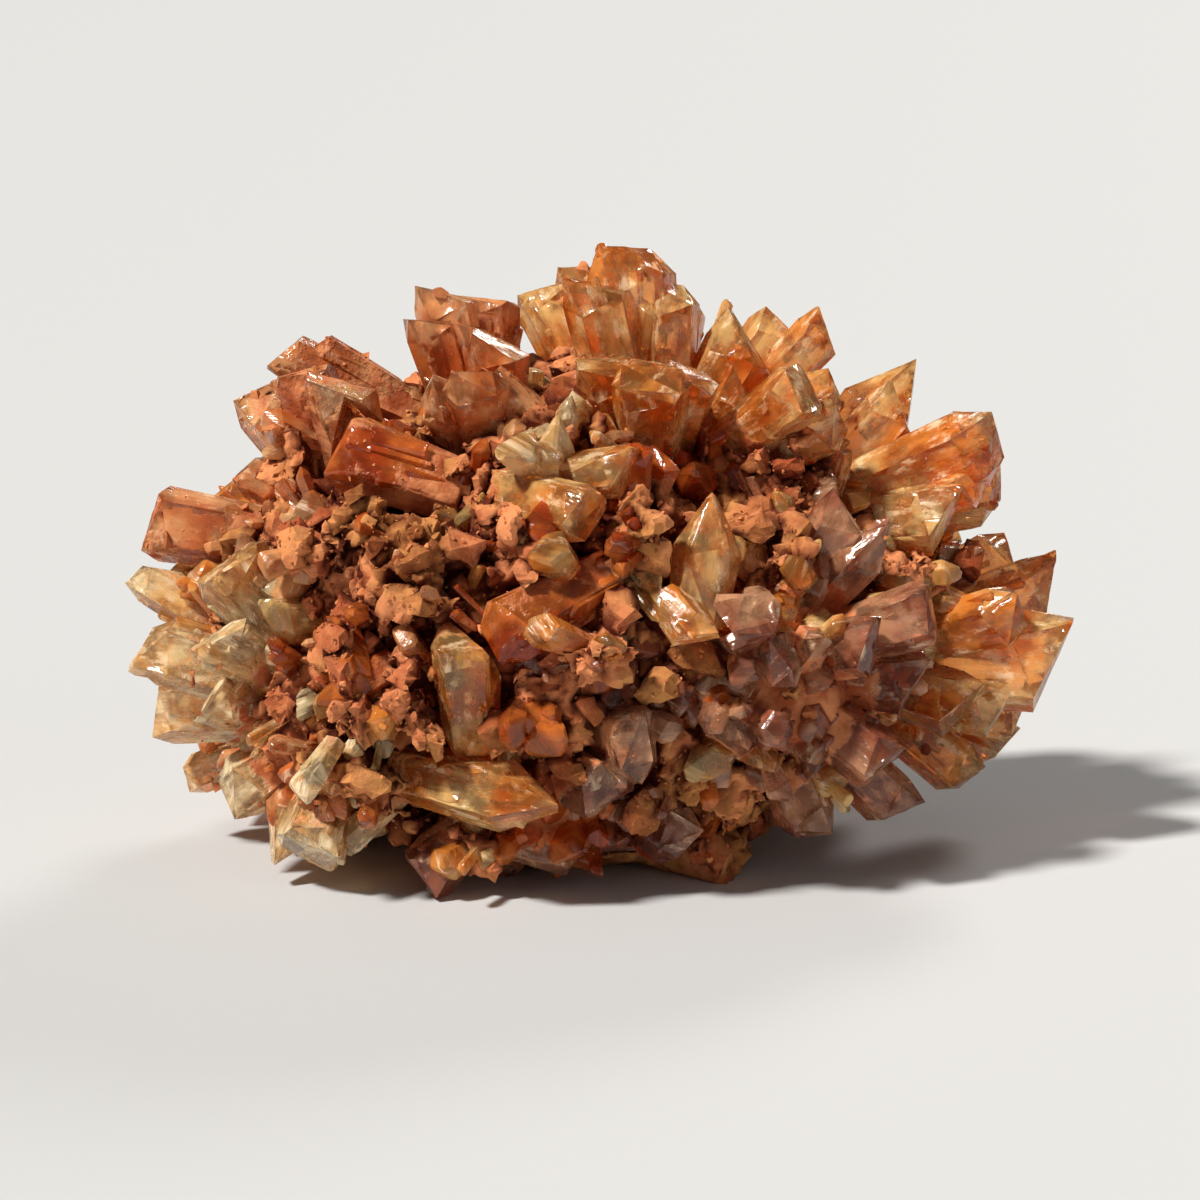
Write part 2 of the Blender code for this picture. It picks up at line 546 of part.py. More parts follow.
def earth_node(clearances):
    """The lump of earth, with its crumbs and hollows and a socket round every crystal."""
    lobes = []
    for number, lobe in enumerate(EARTH_LOBES):
        middle = Vector((lobe.x, lobe.y, lobe.z)) * MM
        radii = (lobe.rx * MM, lobe.ry * MM, lobe.rz * MM)
        detail = 3 if number == 0 else 2
        lobes.append(ball_object(f"lobe_{number}", middle, radii, detail, EARTH_ROUGHNESS, EARTH_GRAIN))
    lump = joined("lump", lobes)
    lump.modifiers.new("Broad faces", "DECIMATE").ratio = EARTH_FACES_KEPT
    pieces = [evaluated("lump", lump)]
    for number, crumb in enumerate(CRUMBS):
        middle = skin_from_front(crumb.across, crumb.up) + towards_viewer() * 0.35 * crumb.size * MM
        pieces.append(lump_object(f"crumb_{number}", middle, crumb.size * MM))
    pieces += far_lumps()
    cutters = []
    for number, hollow in enumerate(HOLLOWS):
        middle = skin_from_front(hollow.across, hollow.up)
        radii = (hollow.size * 1.25 * MM, hollow.size * 1.1 * MM, hollow.size * 0.9 * MM)
        cutters.append(ball_object(f"hollow_{number}", middle, radii, 1, 0.2 * hollow.size * MM, 0.6 / MM))
    earth = combine("earth_matrix", joined("lumpy_earth", pieces), cutters + clearances, "DIFFERENCE")
    for cutter in cutters + clearances:
        bpy.data.objects.remove(cutter)
    cut_at_rest(earth)
    keep_main_body(earth, EARTH_FLATNESS)
    return earth


def centre_on_origin(nodes):
    """Moves everything so that the middle of the whole box is over the origin."""
    corners = [corner for node in nodes for corner in box_of(node)]
    low = Vector(map(min, zip(*corners)))
    high = Vector(map(max, zip(*corners)))
    shift = Matrix.Translation((-(low.x + high.x) / 2, -(low.y + high.y) / 2, -low.z))
    for node in nodes:
        node.data.transform(shift)


def material(name):
    colour, roughness = COLOURS[name]
    made = bpy.data.materials.get(name) or bpy.data.materials.new(name)
    made.use_nodes = True
    surface = made.node_tree.nodes["Principled BSDF"]
    surface.inputs["Base Color"].default_value = colour
    surface.inputs["Roughness"].default_value = roughness
    surface.inputs["Metallic"].default_value = 0.0
    return made


def main():
    for old in list(bpy.data.objects):
        bpy.data.objects.remove(old)
    nodes, clearances = crystal_nodes()
    nodes.append(earth_node(clearances))
    centre_on_origin(nodes)
    for node in nodes:
        node.name = node.name.split(".")[0]
        node.data.materials.clear()
        node.data.materials.append(material(NODE_COLOURS.get(node.name, "crystal")))
        print(node.name, len(node.data.polygons))
    print("triangles", sum(len(node.data.polygons) for node in nodes))


main()
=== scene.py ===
"""The looks of the creedite cluster: clear, striated, dusty crystals in crumbly rust-coloured earth.

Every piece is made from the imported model's own shapes, so it stays where the model has it. Lengths are in
metres, unless a comment says that they are in mm.
"""
import json
import math
from collections import namedtuple

import bmesh
import bpy
import numpy as np
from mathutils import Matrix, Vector, kdtree, noise
from mathutils.bvhtree import BVHTree

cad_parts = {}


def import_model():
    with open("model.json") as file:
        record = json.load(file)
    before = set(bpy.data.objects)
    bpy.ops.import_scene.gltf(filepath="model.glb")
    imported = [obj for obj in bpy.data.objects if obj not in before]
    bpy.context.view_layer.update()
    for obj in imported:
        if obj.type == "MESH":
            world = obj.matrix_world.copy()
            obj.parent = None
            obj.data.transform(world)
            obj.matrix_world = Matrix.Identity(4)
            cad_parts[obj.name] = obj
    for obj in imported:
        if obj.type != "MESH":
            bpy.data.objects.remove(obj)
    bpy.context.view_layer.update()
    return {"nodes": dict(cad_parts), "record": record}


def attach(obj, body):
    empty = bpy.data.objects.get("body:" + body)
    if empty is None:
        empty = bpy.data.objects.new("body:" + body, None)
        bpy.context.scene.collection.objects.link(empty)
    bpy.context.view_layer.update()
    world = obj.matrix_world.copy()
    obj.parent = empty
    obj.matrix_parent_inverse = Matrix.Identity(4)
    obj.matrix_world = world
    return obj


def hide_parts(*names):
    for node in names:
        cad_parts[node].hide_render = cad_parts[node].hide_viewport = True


MM = 0.001
FLAT = math.radians(1.0)  # faces that turn less than this are one face

# The camera: the photograph's view, from the front and a little above
VIEW_TILT = math.radians(12.0)
CAMERA_AIM = Vector((0.0, 0.0, 10.4)) * MM
CAMERA_DISTANCE = 0.142
CAMERA_LENS = 100.0

# The middle of the cluster and its half sizes, in mm: outward is away from this
HEART = (0.0, 0.0, 10.0)
HEART_REACH = (17.0, 12.0, 11.0)
RIM_REACH = (20.0, 13.5, 14.0)

# Where each spray's crystals radiate from, and how far out the knot that they start from reaches, in mm
Spray = namedtuple("Spray", "centre knot")
SPRAYS = {
    "crest_spray": Spray((2.15, 1.21, 14.0), 5.0),
    "crest_slabs": Spray((-4.45, 1.21, 13.4), 4.6),
    "shoulder_spray": Spray((-9.25, -0.39, 12.2), 4.2),
    "left_fan": Spray((-10.25, -3.79, 6.4), 4.6),
    "upper_right_spray": Spray((7.95, 1.01, 13.4), 3.8),
    "right_spray": Spray((9.35, 0.61, 7.6), 4.6),
    "front_spray": Spray((6.35, -5.79, 8.8), 4.9),
    "foot_spray": Spray((-1.85, -5.19, 5.2), 4.6),
    "back_spray": Spray((1.35, 4.21, 8.4), 6.0),
    "back_left_spray": Spray((-9.25, 2.21, 7.6), 4.8),
    "back_right_spray": Spray((8.35, 4.21, 4.8), 3.6),
}

# Each step that draws at random has its own fixed seed
SEEDS = {"small crystals": 5, "grains": 11, "dust": 23, "earth": 31, "lumps": 37, "hollows": 41}

# Large crystals
EDGE_WEAR = 0.09 * MM  # how wide the worn edges are
WORN_ANGLE = math.radians(14)
FACE_CELL = 0.56 * MM  # the largest step between points on a face
RIDGE_HEIGHT = 0.035  # of the ridges along a crystal, in mm
RIDGES_PER_MM = 2.6
RIDGE_CHANGES_PER_MM = 0.22  # how often a ridge rises and falls along its length
SHARP_EDGE = math.radians(24.0)
DUSTY_FOOT = 1.3 * MM  # how far dust climbs up a crystal from the earth
KNOT_DUST = 0.7  # and from the knot of its spray, in mm
# How dusty a crystal is: all over, at its foot, on its upper faces, and in patches
DUST_ANYWHERE = 0.1
DUST_AT_FOOT = 0.75
DUST_ON_TOP = 0.18
DUST_IN_PATCHES = 0.4
DUST_PATCHES_PER_MM = 0.22

# Small crystals in tufts on the earth and on the sprays' knots. Tries are made before crowded places go.
TUFT_TRIES = 3400
KNOT_TRIES = 2600  # on each large crystal or spray
TUFT_SPACING = 1.35  # in mm
TUFT_ROOM = 0.9 * MM  # how much free air a tuft needs before it
TUFT_CRYSTALS = (2, 6)  # how many crystals it has, from the first to below the second
TUFT_DEPTH = 1.5  # how deep it starts, in mm
TUFT_AIM = (0.45, 0.75, 0.3)  # how far it follows the surface, the way out of the cluster, and chance
TUFT_SPREAD = 0.36  # how far its crystals lean apart
TUFT_SCATTER = 0.25  # how far apart they start, in mm
SMALL_WIDTH = (0.55, 2.1)  # in mm
SMALL_REACH = (0.3, 2.0)  # how far a tip stands out, in mm

# Narrow blades along the sides of the large crystals
BLADE_TRIES = 1300
BLADE_SPACING = 0.55  # in mm
BLADE_ROOM = 0.8 * MM
BLADE_WIDTH = (0.35, 1.1)  # in mm
BLADE_REACH = (0.1, 0.6)  # in mm
BLADE_SUNK = 0.3  # how far a blade lies in its crystal, in its widths
BLADE_LEAN = 0.06  # how far it leans from the way its crystal grew

# The shapes that small crystals take
PRISM_SHAPES = 26
PRISM_ROOT = 0.7  # how wide the root is, as a share of the full width
PRISM_WEAR = 0.06  # how wide the worn edges are, in widths

# How much dustier some crystals are than the others
DUSTIER = {
    "red_prism": 0.44,
    "shoulder_blade": 0.35,
    "shoulder_spray": 0.25,
    "crest_slabs": 0.15,
    "rust_wedge": 0.04,
    "chisel_block": 0.12,
    "left_fan": 0.12,
    "right_spray": -0.04,
    "upper_right_spray": -0.04,
}

# The kinds of crystal, by their material slots
HONEY = "honey_crystal"
PALE = "pale_crystal"
RED = "red_crystal"
SMOKY = "smoky_crystal"
DUSTY = "dusty_crystal"

# A part of the front as the camera sees it: its place in mm, the share of it that small crystals cover, and
# their kinds
Zone = namedtuple("Zone", "across up crystals kinds")
ZONES = [
    Zone(-9.0, 13.0, 0.12, (RED, DUSTY)),
    Zone(-7.0, 7.5, 0.1, (RED, HONEY)),
    Zone(-15.5, 7.0, 0.7, (PALE, PALE, HONEY)),
    Zone(-13.0, 1.5, 0.6, (PALE, DUSTY)),
    Zone(-16.0, 13.0, 0.45, (DUSTY, HONEY)),
    Zone(-11.5, 18.5, 0.35, (DUSTY, RED)),
    Zone(-3.5, 18.5, 0.85, (PALE, DUSTY, HONEY)),
    Zone(2.0, 20.5, 0.85, (HONEY, PALE, HONEY)),
    Zone(4.6, 15.2, 0.1, (RED,)),
    Zone(0.0, 12.0, 0.45, (HONEY, RED)),
    Zone(-2.5, 6.5, 0.5, (RED, SMOKY)),
    Zone(-5.0, 1.5, 0.4, (RED, HONEY)),
    Zone(2.5, 4.0, 0.7, (SMOKY, RED)),
    Zone(8.0, 11.5, 0.75, (HONEY, SMOKY)),
    Zone(9.0, 4.0, 0.85, (SMOKY, HONEY, SMOKY)),
    Zone(13.5, 8.5, 0.85, (HONEY, SMOKY)),
    Zone(12.0, 15.0, 0.8, (HONEY, DUSTY)),
]
ZONE_CRYSTALS = np.array([zone.crystals for zone in ZONES])
ZONE_BLUR = 1.1  # how raggedly the zones meet, in mm

# Earth
EARTH_CELL = 0.25 * MM
EARTH_SWELL = 0.12  # outward, in mm, so that it closes on the crystals' feet
EARTH_SWELLS = 0.2  # the height of its broad swells, in mm
EARTH_SWELLS_PER_MM = 0.55
EARTH_GRIT = 0.05  # the height of its finest swells, in mm
EARTH_GRIT_PER_MM = 4.0
EARTH_SHARP = math.radians(50.0)
REST_EDGE = 1.0 * MM  # how high up the surface is still eased into the flat base
# Layers of broken faces: how wide the crumbs are, how deep the cracks between them, how far they step and how
# far they tilt, in mm
Crumbs = namedtuple("Crumbs", "width crack step tilt")
CRUMB_LAYERS = [Crumbs(1.5, 0.24, 0.2, 0.28), Crumbs(0.62, 0.12, 0.1, 0.3)]
# Painted shade in the earth's hollows and cracks: how far its rays look for walls, and how many rays there
# are
HOLLOW_ROOM = 2.2 * MM  # how far away a wall still darkens a point with painted shade
HOLLOW_RAYS = 6

# Lumps of clay on the earth and on the crystals
LUMP_TRIES = 2600
LUMPS_ON_CRYSTALS = 420  # tries on a crystal of middling area that is dusted all over
LUMPS_ANYWHERE = 0.18  # how dusted a clean crystal counts for them
LUMP_LIMITS = (0.45, 0.8)  # how far out they lie on crystals: 0 is the heart of the cluster and 1 its rim
LUMP_ROOM = 1.3 * MM
LUMP_SPACING = 1.2  # in mm
LUMP_SIZE = (0.9, 2.9)  # in mm
SMALL_LUMP = 1.4  # the largest on or beside a crystal that stands alone, in mm
LUMP_SHAPES = 16
LUMP_CORNERS = 13
LUMP_HALVES = (0.5, 0.44, 0.38)  # half lengths, in sizes of the lump, as all of these
LUMP_SWELLS = ((2.6, 0.09), (9.0, 0.07))  # how often and how far it swells
LUMP_WEAR = 0.02  # how far it is worn down all over
LUMP_DETAIL = 0.21  # the longest step between points
LUMP_SHARP = math.radians(38.0)

# Loose crumbs: how many, and their least and greatest size in mm
GRAIN_COUNTS = ((2200, (0.22, 0.5)), (8000, (0.1, 0.24)))
DUST_COUNTS = ((1100, (0.3, 0.95)), (6500, (0.07, 0.24)))
GRAIN_ROOM = 1.2 * MM
GRAIN_SHAPES = 12
GRAIN_CORNERS = 9
DUST_SHAPES = 9
DUST_CORNERS = 8
BLOCK_HALVES = (0.5, 0.42, 0.36)  # the half lengths of a crumb, as shares of its size

# The light: the way from the object to each lamp, how strong and how soft it is, and its colour
Lamp = namedtuple("Lamp", "name towards strength softness colour")
LAMPS = [
    Lamp("key", (-0.52, -0.36, 0.78), 4.3, math.radians(7), (1.0, 0.96, 0.9)),
    Lamp("fill", (0.7, -0.6, 0.35), 0.18, math.radians(40), (0.94, 0.97, 1.0)),
    Lamp("back", (0.35, 0.7, 0.5), 1.0, math.radians(16), (1.0, 0.98, 0.94)),
]
SKY_COLOUR = (1.0, 0.98, 0.95, 1.0)
SKY_STRENGTH = 0.12
FLOOR_COLOUR = (0.6, 0.61, 0.62, 1.0)
FLOOR_REACH = 6.0


# Mesh tools

def new_piece(name, mesh):
    made = bpy.data.objects.new(name, mesh)
    bpy.context.scene.collection.objects.link(made)
    return made


def points_of(mesh, kind="co"):
    """Where a mesh's points are."""
    found = np.empty(len(mesh.vertices) * 3)
    mesh.vertices.foreach_get(kind, found)
    return found.reshape(-1, 3)


def normals_of(mesh):
    return points_of(mesh, "normal")


def node_of(piece):
    """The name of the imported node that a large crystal's piece stands in for."""
    return piece.name.removesuffix("_crystals")


def set_points(mesh, places):
    mesh.vertices.foreach_set("co", places.astype(np.float32).ravel())
    mesh.update()


def triangles_of(mesh):
    mesh.calc_loop_triangles()
    corners = np.empty(len(mesh.loop_triangles) * 3, np.int64)
    mesh.loop_triangles.foreach_get("vertices", corners)
    return corners.reshape(-1, 3)


def areas_of(pieces):
    return [sum(face.area for face in piece.data.polygons) for piece in pieces]


def evaluated_mesh(piece):
    graph = bpy.context.evaluated_depsgraph_get()
    return bpy.data.meshes.new_from_object(piece.evaluated_get(graph))


def add_value(mesh, name, values):
    """Stores one number for each point, for a material to read."""
    attribute = mesh.attributes.new(name, "FLOAT", "POINT")
    attribute.data.foreach_set("value", np.asarray(values, np.float32))


def whole_faces(mesh):
    """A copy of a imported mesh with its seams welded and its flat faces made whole."""
    shape = bmesh.new()
    shape.from_mesh(mesh)
    bmesh.ops.remove_doubles(shape, verts=shape.verts, dist=0.002 * MM)
    bmesh.ops.dissolve_limit(shape, angle_limit=FLAT, verts=shape.verts, edges=shape.edges)
    made = bpy.data.meshes.new(mesh.name + "_whole")
    shape.to_mesh(made)
    shape.free()
    made.materials.clear()
    return made


def split_shape(shape, longest):
    """Divides a bmesh's faces until no edge is longer than this."""
    bmesh.ops.triangulate(shape, faces=shape.faces)
    for _ in range(6):
        long_edges = [edge for edge in shape.edges if edge.calc_length() > longest]
        if not long_edges:
            break
        bmesh.ops.subdivide_edges(shape, edges=long_edges, cuts=1)
        bmesh.ops.triangulate(shape, faces=shape.faces)


def split_long_edges(mesh, longest):
    shape = bmesh.new()
    shape.from_mesh(mesh)
    split_shape(shape, longest)
    shape.to_mesh(mesh)
    shape.free()


def smooth_with_sharp_edges(mesh, angle):
    mesh.shade_smooth()
    mesh.set_sharp_from_angle(angle=angle)


def swell_at(place, layers=2):
    """A smooth random height of about -1 to 1."""
    return noise.fractal(place, 0.8, 2.1, layers)


def fractal(places, frequency, layers=3):
    """Swells and dips of about -1 to 1 at these places, repeating this many times per mm."""
    return np.array([swell_at(Vector(place), layers) for place in places / MM * frequency])


def mostly_small(draw, limits, count, power):
    """Random sizes between two limits, with more small ones than large ones."""
    return limits[0] + (limits[1] - limits[0]) * draw.random(count) ** power


def joined(found):
    """Several pairs of arrays as one pair."""
    return (np.concatenate(group) for group in zip(*found))


def unit(vectors):
    return vectors / np.maximum(np.linalg.norm(vectors, axis=-1, keepdims=True), 1e-12)


def outward_at(places):
    """The direction away from the heart of the cluster at each place."""
    return unit((places / MM - HEART) / np.square(HEART_REACH))


# Solids around, for distances

def tree_of(meshes):
    """One search tree over several meshes."""
    places = []
    faces = []
    start = 0
    for mesh in meshes:
        points = points_of(mesh)
        places.append(points)
        faces.append(triangles_of(mesh) + start)
        start += len(points)
    return BVHTree.FromPolygons(np.concatenate(places).tolist(), np.concatenate(faces).tolist())


def distance_to(tree, places, farthest):
    """How far each place is from the nearest face, at most `farthest`."""
    found = []
    for place in places:
        distance = tree.find_nearest(Vector(place), farthest)[3]
        found.append(farthest if distance is None else distance)
    return np.array(found)


def open_to_air(tree, places, normals, room):
    """Which places have nothing within `room` outwards."""
    free = []
    for place, normal in zip(places, normals):
        outward = Vector(normal)
        start = Vector(place) + outward * 0.08 * MM
        free.append(tree.ray_cast(start, outward, room)[0] is None)
    return np.array(free, bool)


def point_tree(places):
    """A search tree that finds a place's nearest neighbours by number."""
    tree = kdtree.KDTree(len(places))
    for number, place in enumerate(places):
        tree.insert(Vector(place), number)
    tree.balance()
    return tree


def spaced_out(places, spacing):
    """The places that are left when each one clears those after it that are nearer than this."""
    tree = point_tree(places)
    kept = np.ones(len(places), bool)
    for number, place in enumerate(places):
        if not kept[number]:
            continue
        for _, other, _ in tree.find_range(Vector(place), spacing):
            if other > number:
                kept[other] = False
    return kept


# Materials

class Surface:
    """A Principled material and short ways to add the nodes that drive it."""

    def __init__(self, name):
        self.material = bpy.data.materials.new(name)
        self.material.use_nodes = True
        self.nodes = self.material.node_tree.nodes
        self.links = self.material.node_tree.links
        self.shader = self.nodes["Principled BSDF"]

    def put(self, socket, value):
        """Sets a socket to a constant, or links it to another node's output."""
        if isinstance(value, bpy.types.NodeSocket):
            self.links.new(value, socket)
        else:
            socket.default_value = value

    def set(self, name, value):
        """Sets or links one of the shader's own inputs."""
        self.put(self.shader.inputs[name], value)

    def add(self, kind, output=0, **inputs):
        """Adds a node with these inputs, spaces in their names given as _, and returns its output."""
        node = self.nodes.new(kind)
        for name, value in inputs.items():
            self.put(node.inputs[name.replace("_", " ")], value)
        return node.outputs[output]

    def value(self, name):
        """A number that the mesh stores at each point."""
        node = self.nodes.new("ShaderNodeAttribute")
        node.attribute_name = name
        return node.outputs["Fac"]

    def position(self):
        return self.add("ShaderNodeTexCoord", "Object")

    def stretched(self, vector, scale):
        return self.add("ShaderNodeMapping", "Vector", Vector=vector, Scale=scale)

    def noise(self, vector, scale, detail=3.0, roughness=0.55):
        return self.add("ShaderNodeTexNoise", "Fac", Vector=vector, Scale=scale, Detail=detail,
                        Roughness=roughness)

    def math(self, operation, *values):
        node = self.nodes.new("ShaderNodeMath")
        node.operation = operation
        for socket, value in zip(node.inputs, values):
            self.put(socket, value)
        return node.outputs[0]

    def ranged(self, value, low, high, to_low=0.0, to_high=1.0):
        """The value from `low` to `high` eased into another range, and clamped there."""
        result = self.add("ShaderNodeMapRange", "Result", Value=value, From_Min=low, From_Max=high,
                          To_Min=to_low, To_Max=to_high)
        result.node.interpolation_type = "SMOOTHSTEP"
        return result

    def mix(self, share, one, other):
        """A colour part of the way from one to the other."""
        node = self.nodes.new("ShaderNodeMix")
        node.data_type = "RGBA"
        colours = [socket for socket in node.inputs if socket.type == "RGBA"]
        self.put(node.inputs["Factor"], share)
        self.put(colours[0], one)
        self.put(colours[1], other)
        return next(socket for socket in node.outputs if socket.type == "RGBA")

    def bump(self, height, strength, depth, **under):
        """Bumps this deep, on top of the Normal that may be given."""
        return self.add("ShaderNodeBump", "Normal", Height=height, Strength=strength, Distance=depth, **under)


def rgb(red, green, blue):
    """A colour from its values from 0 to 255 as a picture shows them."""
    shares = []
    for value in (red, green, blue):
        share = value / 255.0
        shares.append(share / 12.92 if share <= 0.04045 else ((share + 0.055) / 1.055) ** 2.4)
    return (*shares, 1.0)


SALMON_DUST = rgb(220, 142, 92)
RUST_DUST = rgb(166, 80, 38)
FROST = rgb(255, 234, 200)
LIGHT_CLAY = (rgb(228, 146, 96), rgb(206, 140, 80))
DARK_CLAY = (rgb(158, 70, 36), rgb(126, 68, 30))
# Painted shade: the deep red-brown that the earth turns where it is hidden from the sky or near a crack,
# standing in for the shade that falls there
PAINTED_SHADE_CLAY = rgb(84, 27, 12)
LIGHT_GRAIN = rgb(226, 146, 94)
DARK_GRAIN = rgb(146, 70, 34)
CREEDITE_IOR = 1.47

# Patterns in a crystal, in repeats per mm along and across the way it grew
COARSE_LINES = (0.16, 1.7, 1.0)
FINE_LINES = (0.5, 9.0, 1.0)
VEILS = (0.4, 0.6, 1.0)
FROST_PATCHES = (0.55, 1.2, 1.0)
FACE_SHIFT = 7.31  # how far the patterns move on from face to face
# Patterns that run on through everything, in repeats per metre
PITS = 2600.0
DUST_EDGES = 1300.0
DUST_TINTS = 700.0
CRYSTAL_TINTS = 330.0
CLAY_TINTS = 210.0
CLAY_CRUMBS = 1300.0
CLAY_GRIT = 5200.0
GRAIN_GRIT = 4200.0

# What a kind of crystal looks like: its light and deep tint, how clear it is, the share of it that is
# frosted, how far its dust reaches, and the colour and strength of what it absorbs
Look = namedtuple("Look", "light deep clear frost dust absorbs density")
CRYSTAL_LOOKS = {
    HONEY: Look(rgb(255, 210, 134), rgb(250, 152, 60), (0.42, 0.84), 0.36, 0.28,
                rgb(255, 174, 80), 290.0),
    PALE: Look(rgb(255, 230, 178), rgb(255, 196, 118), (0.4, 0.84), 0.44, 0.3,
               rgb(255, 208, 130), 170.0),
    RED: Look(rgb(238, 132, 58), rgb(184, 70, 24), (0.25, 0.7), 0.18, 0.36,
              rgb(238, 104, 36), 450.0),
    SMOKY: Look(rgb(236, 174, 130), rgb(178, 100, 72), (0.4, 0.8), 0.28, 0.32,
                rgb(228, 146, 96), 360.0),
    DUSTY: Look(rgb(250, 188, 128), rgb(222, 124, 62), (0.3, 0.75), 0.32, 0.44,
                rgb(244, 150, 74), 330.0),
}


def crystal_material(name):
    """Clear striated crystal with cloudy veils in it, frosted patches, and earth dust over part of it."""
    look = CRYSTAL_LOOKS[name]
    surface = Surface(name)
    place = surface.position()
    growth = surface.add("ShaderNodeUVMap")
    growth.node.uv_map = "growth"

    coarse = surface.noise(surface.stretched(growth, COARSE_LINES), 1.0, 3.0)
    fine = surface.noise(surface.stretched(growth, FINE_LINES), 1.0, 2.0)
    pits = surface.noise(place, PITS, 2.0)
    lines = surface.math("MULTIPLY_ADD", fine, 0.4, coarse)

    ragged = surface.math("MULTIPLY_ADD", surface.noise(place, DUST_EDGES, 4.0, 0.65), 1.4, -0.7)
    dust = surface.math("ADD", surface.value("dust"), ragged)
    dust = surface.ranged(dust, 1.0 - look.dust - 0.16, 1.0 - look.dust + 0.2)

    veil = surface.noise(surface.stretched(growth, VEILS), 1.0, 4.0, 0.65)
    clear = surface.ranged(veil, 0.34, 0.6, *look.clear)
    frost = surface.noise(surface.stretched(growth, FROST_PATCHES), 1.0, 4.0, 0.7)
    frost = surface.ranged(frost, 0.7 - 0.5 * look.frost, 0.86 - 0.5 * look.frost)

    deeper = surface.ranged(surface.noise(place, CRYSTAL_TINTS, 3.0), 0.36, 0.62)
    tint = surface.mix(deeper, look.light, look.deep)
    frosted = surface.mix(surface.math("MULTIPLY", frost, 0.6), tint, FROST)
    rustier = surface.ranged(surface.noise(place, DUST_TINTS), 0.35, 0.65)
    dusty = surface.mix(rustier, SALMON_DUST, RUST_DUST)
    surface.set("Base Color", surface.mix(dust, frosted, dusty))
    smooth = surface.math("MULTIPLY_ADD", frost, 0.22, surface.ranged(lines, 0.45, 0.95, 0.08, 0.26))
    dull = surface.math("MULTIPLY", dust, 0.92)
    surface.set("Roughness", surface.math("MAXIMUM", smooth, dull))
    unfrosted = surface.math("MULTIPLY", clear, surface.math("MULTIPLY_ADD", frost, -0.55, 1.0))
    see_through = surface.math("MULTIPLY", unfrosted, surface.math("SUBTRACT", 1.0, dust))
    surface.set("Transmission Weight", see_through)
    surface.set("IOR", CREEDITE_IOR)
    ridges = surface.bump(fine, 0.3, 0.06 * MM)
    rough = surface.math("MULTIPLY", surface.math("MULTIPLY_ADD", dust, 0.9, 0.2), pits)
    surface.set("Normal", surface.bump(rough, 0.7, 0.12 * MM, Normal=ridges))

    absorbs = surface.add("ShaderNodeVolumeAbsorption", Color=look.absorbs, Density=look.density)
    surface.put(surface.nodes["Material Output"].inputs["Volume"], absorbs)
    return surface.material


def earth_material(name):
    """Dry clay from salmon to ochre and deep rust, each crumb of its own tint, with painted shade that
    darkens it in its hollows.
    """
    surface = Surface(name)
    place = surface.position()
    patches = surface.ranged(surface.noise(place, CLAY_TINTS, 3.0), 0.4, 0.6)
    crumbs = surface.noise(place, CLAY_CRUMBS, 4.0, 0.65)
    shade = surface.math("MULTIPLY_ADD", surface.value("shade"), 0.6, surface.math("MULTIPLY", crumbs, 0.7))
    light = surface.mix(patches, *LIGHT_CLAY)
    dark = surface.mix(patches, *DARK_CLAY)
    dry = surface.mix(surface.ranged(shade, 0.28, 0.85), dark, light)
    # Painted shade: the clay darkens towards a deep red-brown by the stored value of how hidden from the sky
    # and how near a crack each point is
    deep = surface.mix(surface.value("hollow"), dry, PAINTED_SHADE_CLAY)
    surface.set("Base Color", deep)
    surface.set("Roughness", 0.93)
    surface.set("Specular IOR Level", 0.25)
    grit = surface.noise(place, CLAY_GRIT, 3.0, 0.7)
    surface.set("Normal", surface.bump(grit, 0.8, 0.1 * MM))
    return surface.material


def grain_material(name):
    """Loose crumbs of clay, each of its own shade."""
    surface = Surface(name)
    grit = surface.noise(surface.position(), GRAIN_GRIT, 3.0, 0.7)
    shade = surface.math("MULTIPLY_ADD", grit, 0.5, surface.math("MULTIPLY", surface.value("shade"), 0.7))
    surface.set("Base Color", surface.mix(shade, DARK_GRAIN, LIGHT_GRAIN))
    surface.set("Roughness", 0.92)
    surface.set("Specular IOR Level", 0.25)
    surface.set("Normal", surface.bump(grit, 0.6, 0.08 * MM))
    return surface.material


# Large crystals

def growth_axes(node_name, mesh, places):
    """The way the crystal grew at each place: away from its spray's centre, or along a single crystal."""
    if node_name in SPRAYS:
        return unit(places - np.array(SPRAYS[node_name].centre) * MM)
    corners = points_of(mesh)
    spread = corners - corners.mean(axis=0)
    axis = np.linalg.svd(spread, full_matrices=False)[2][0]
    if axis @ outward_at(corners.mean(axis=0)) < 0.0:
        axis = -axis
    return np.repeat(axis[None, :], len(places), axis=0)


def growth_lines(node_name, mesh):
    """Stores for each face how far its corners are along and across the way it grew, in mm."""
    layer = mesh.uv_layers.new(name="growth")
    centres = np.array([face.center[:] for face in mesh.polygons])
    for face, axis in zip(mesh.polygons, growth_axes(node_name, mesh, centres)):
        axis = Vector(axis)
        across = axis.cross(face.normal)
        across = across.normalized() if across.length > 0.05 else face.normal.orthogonal().normalized()
        along = face.normal.cross(across)
        offset = face.index * FACE_SHIFT
        for corner in face.loop_indices:
            place = mesh.vertices[mesh.loops[corner].vertex_index].co / MM
            layer.data[corner].uv = (place.dot(along) + offset, place.dot(across) + offset)


def on_knot(node_name, places):
    """1 where a place is on the knot that a spray's crystals start from, and 0 well outside it."""
    if node_name not in SPRAYS:
        return np.zeros(len(places))
    spray = SPRAYS[node_name]
    beyond = np.linalg.norm(places / MM - spray.centre, axis=1) - spray.knot
    return np.clip(1.0 - beyond / KNOT_DUST, 0.0, 1.0)


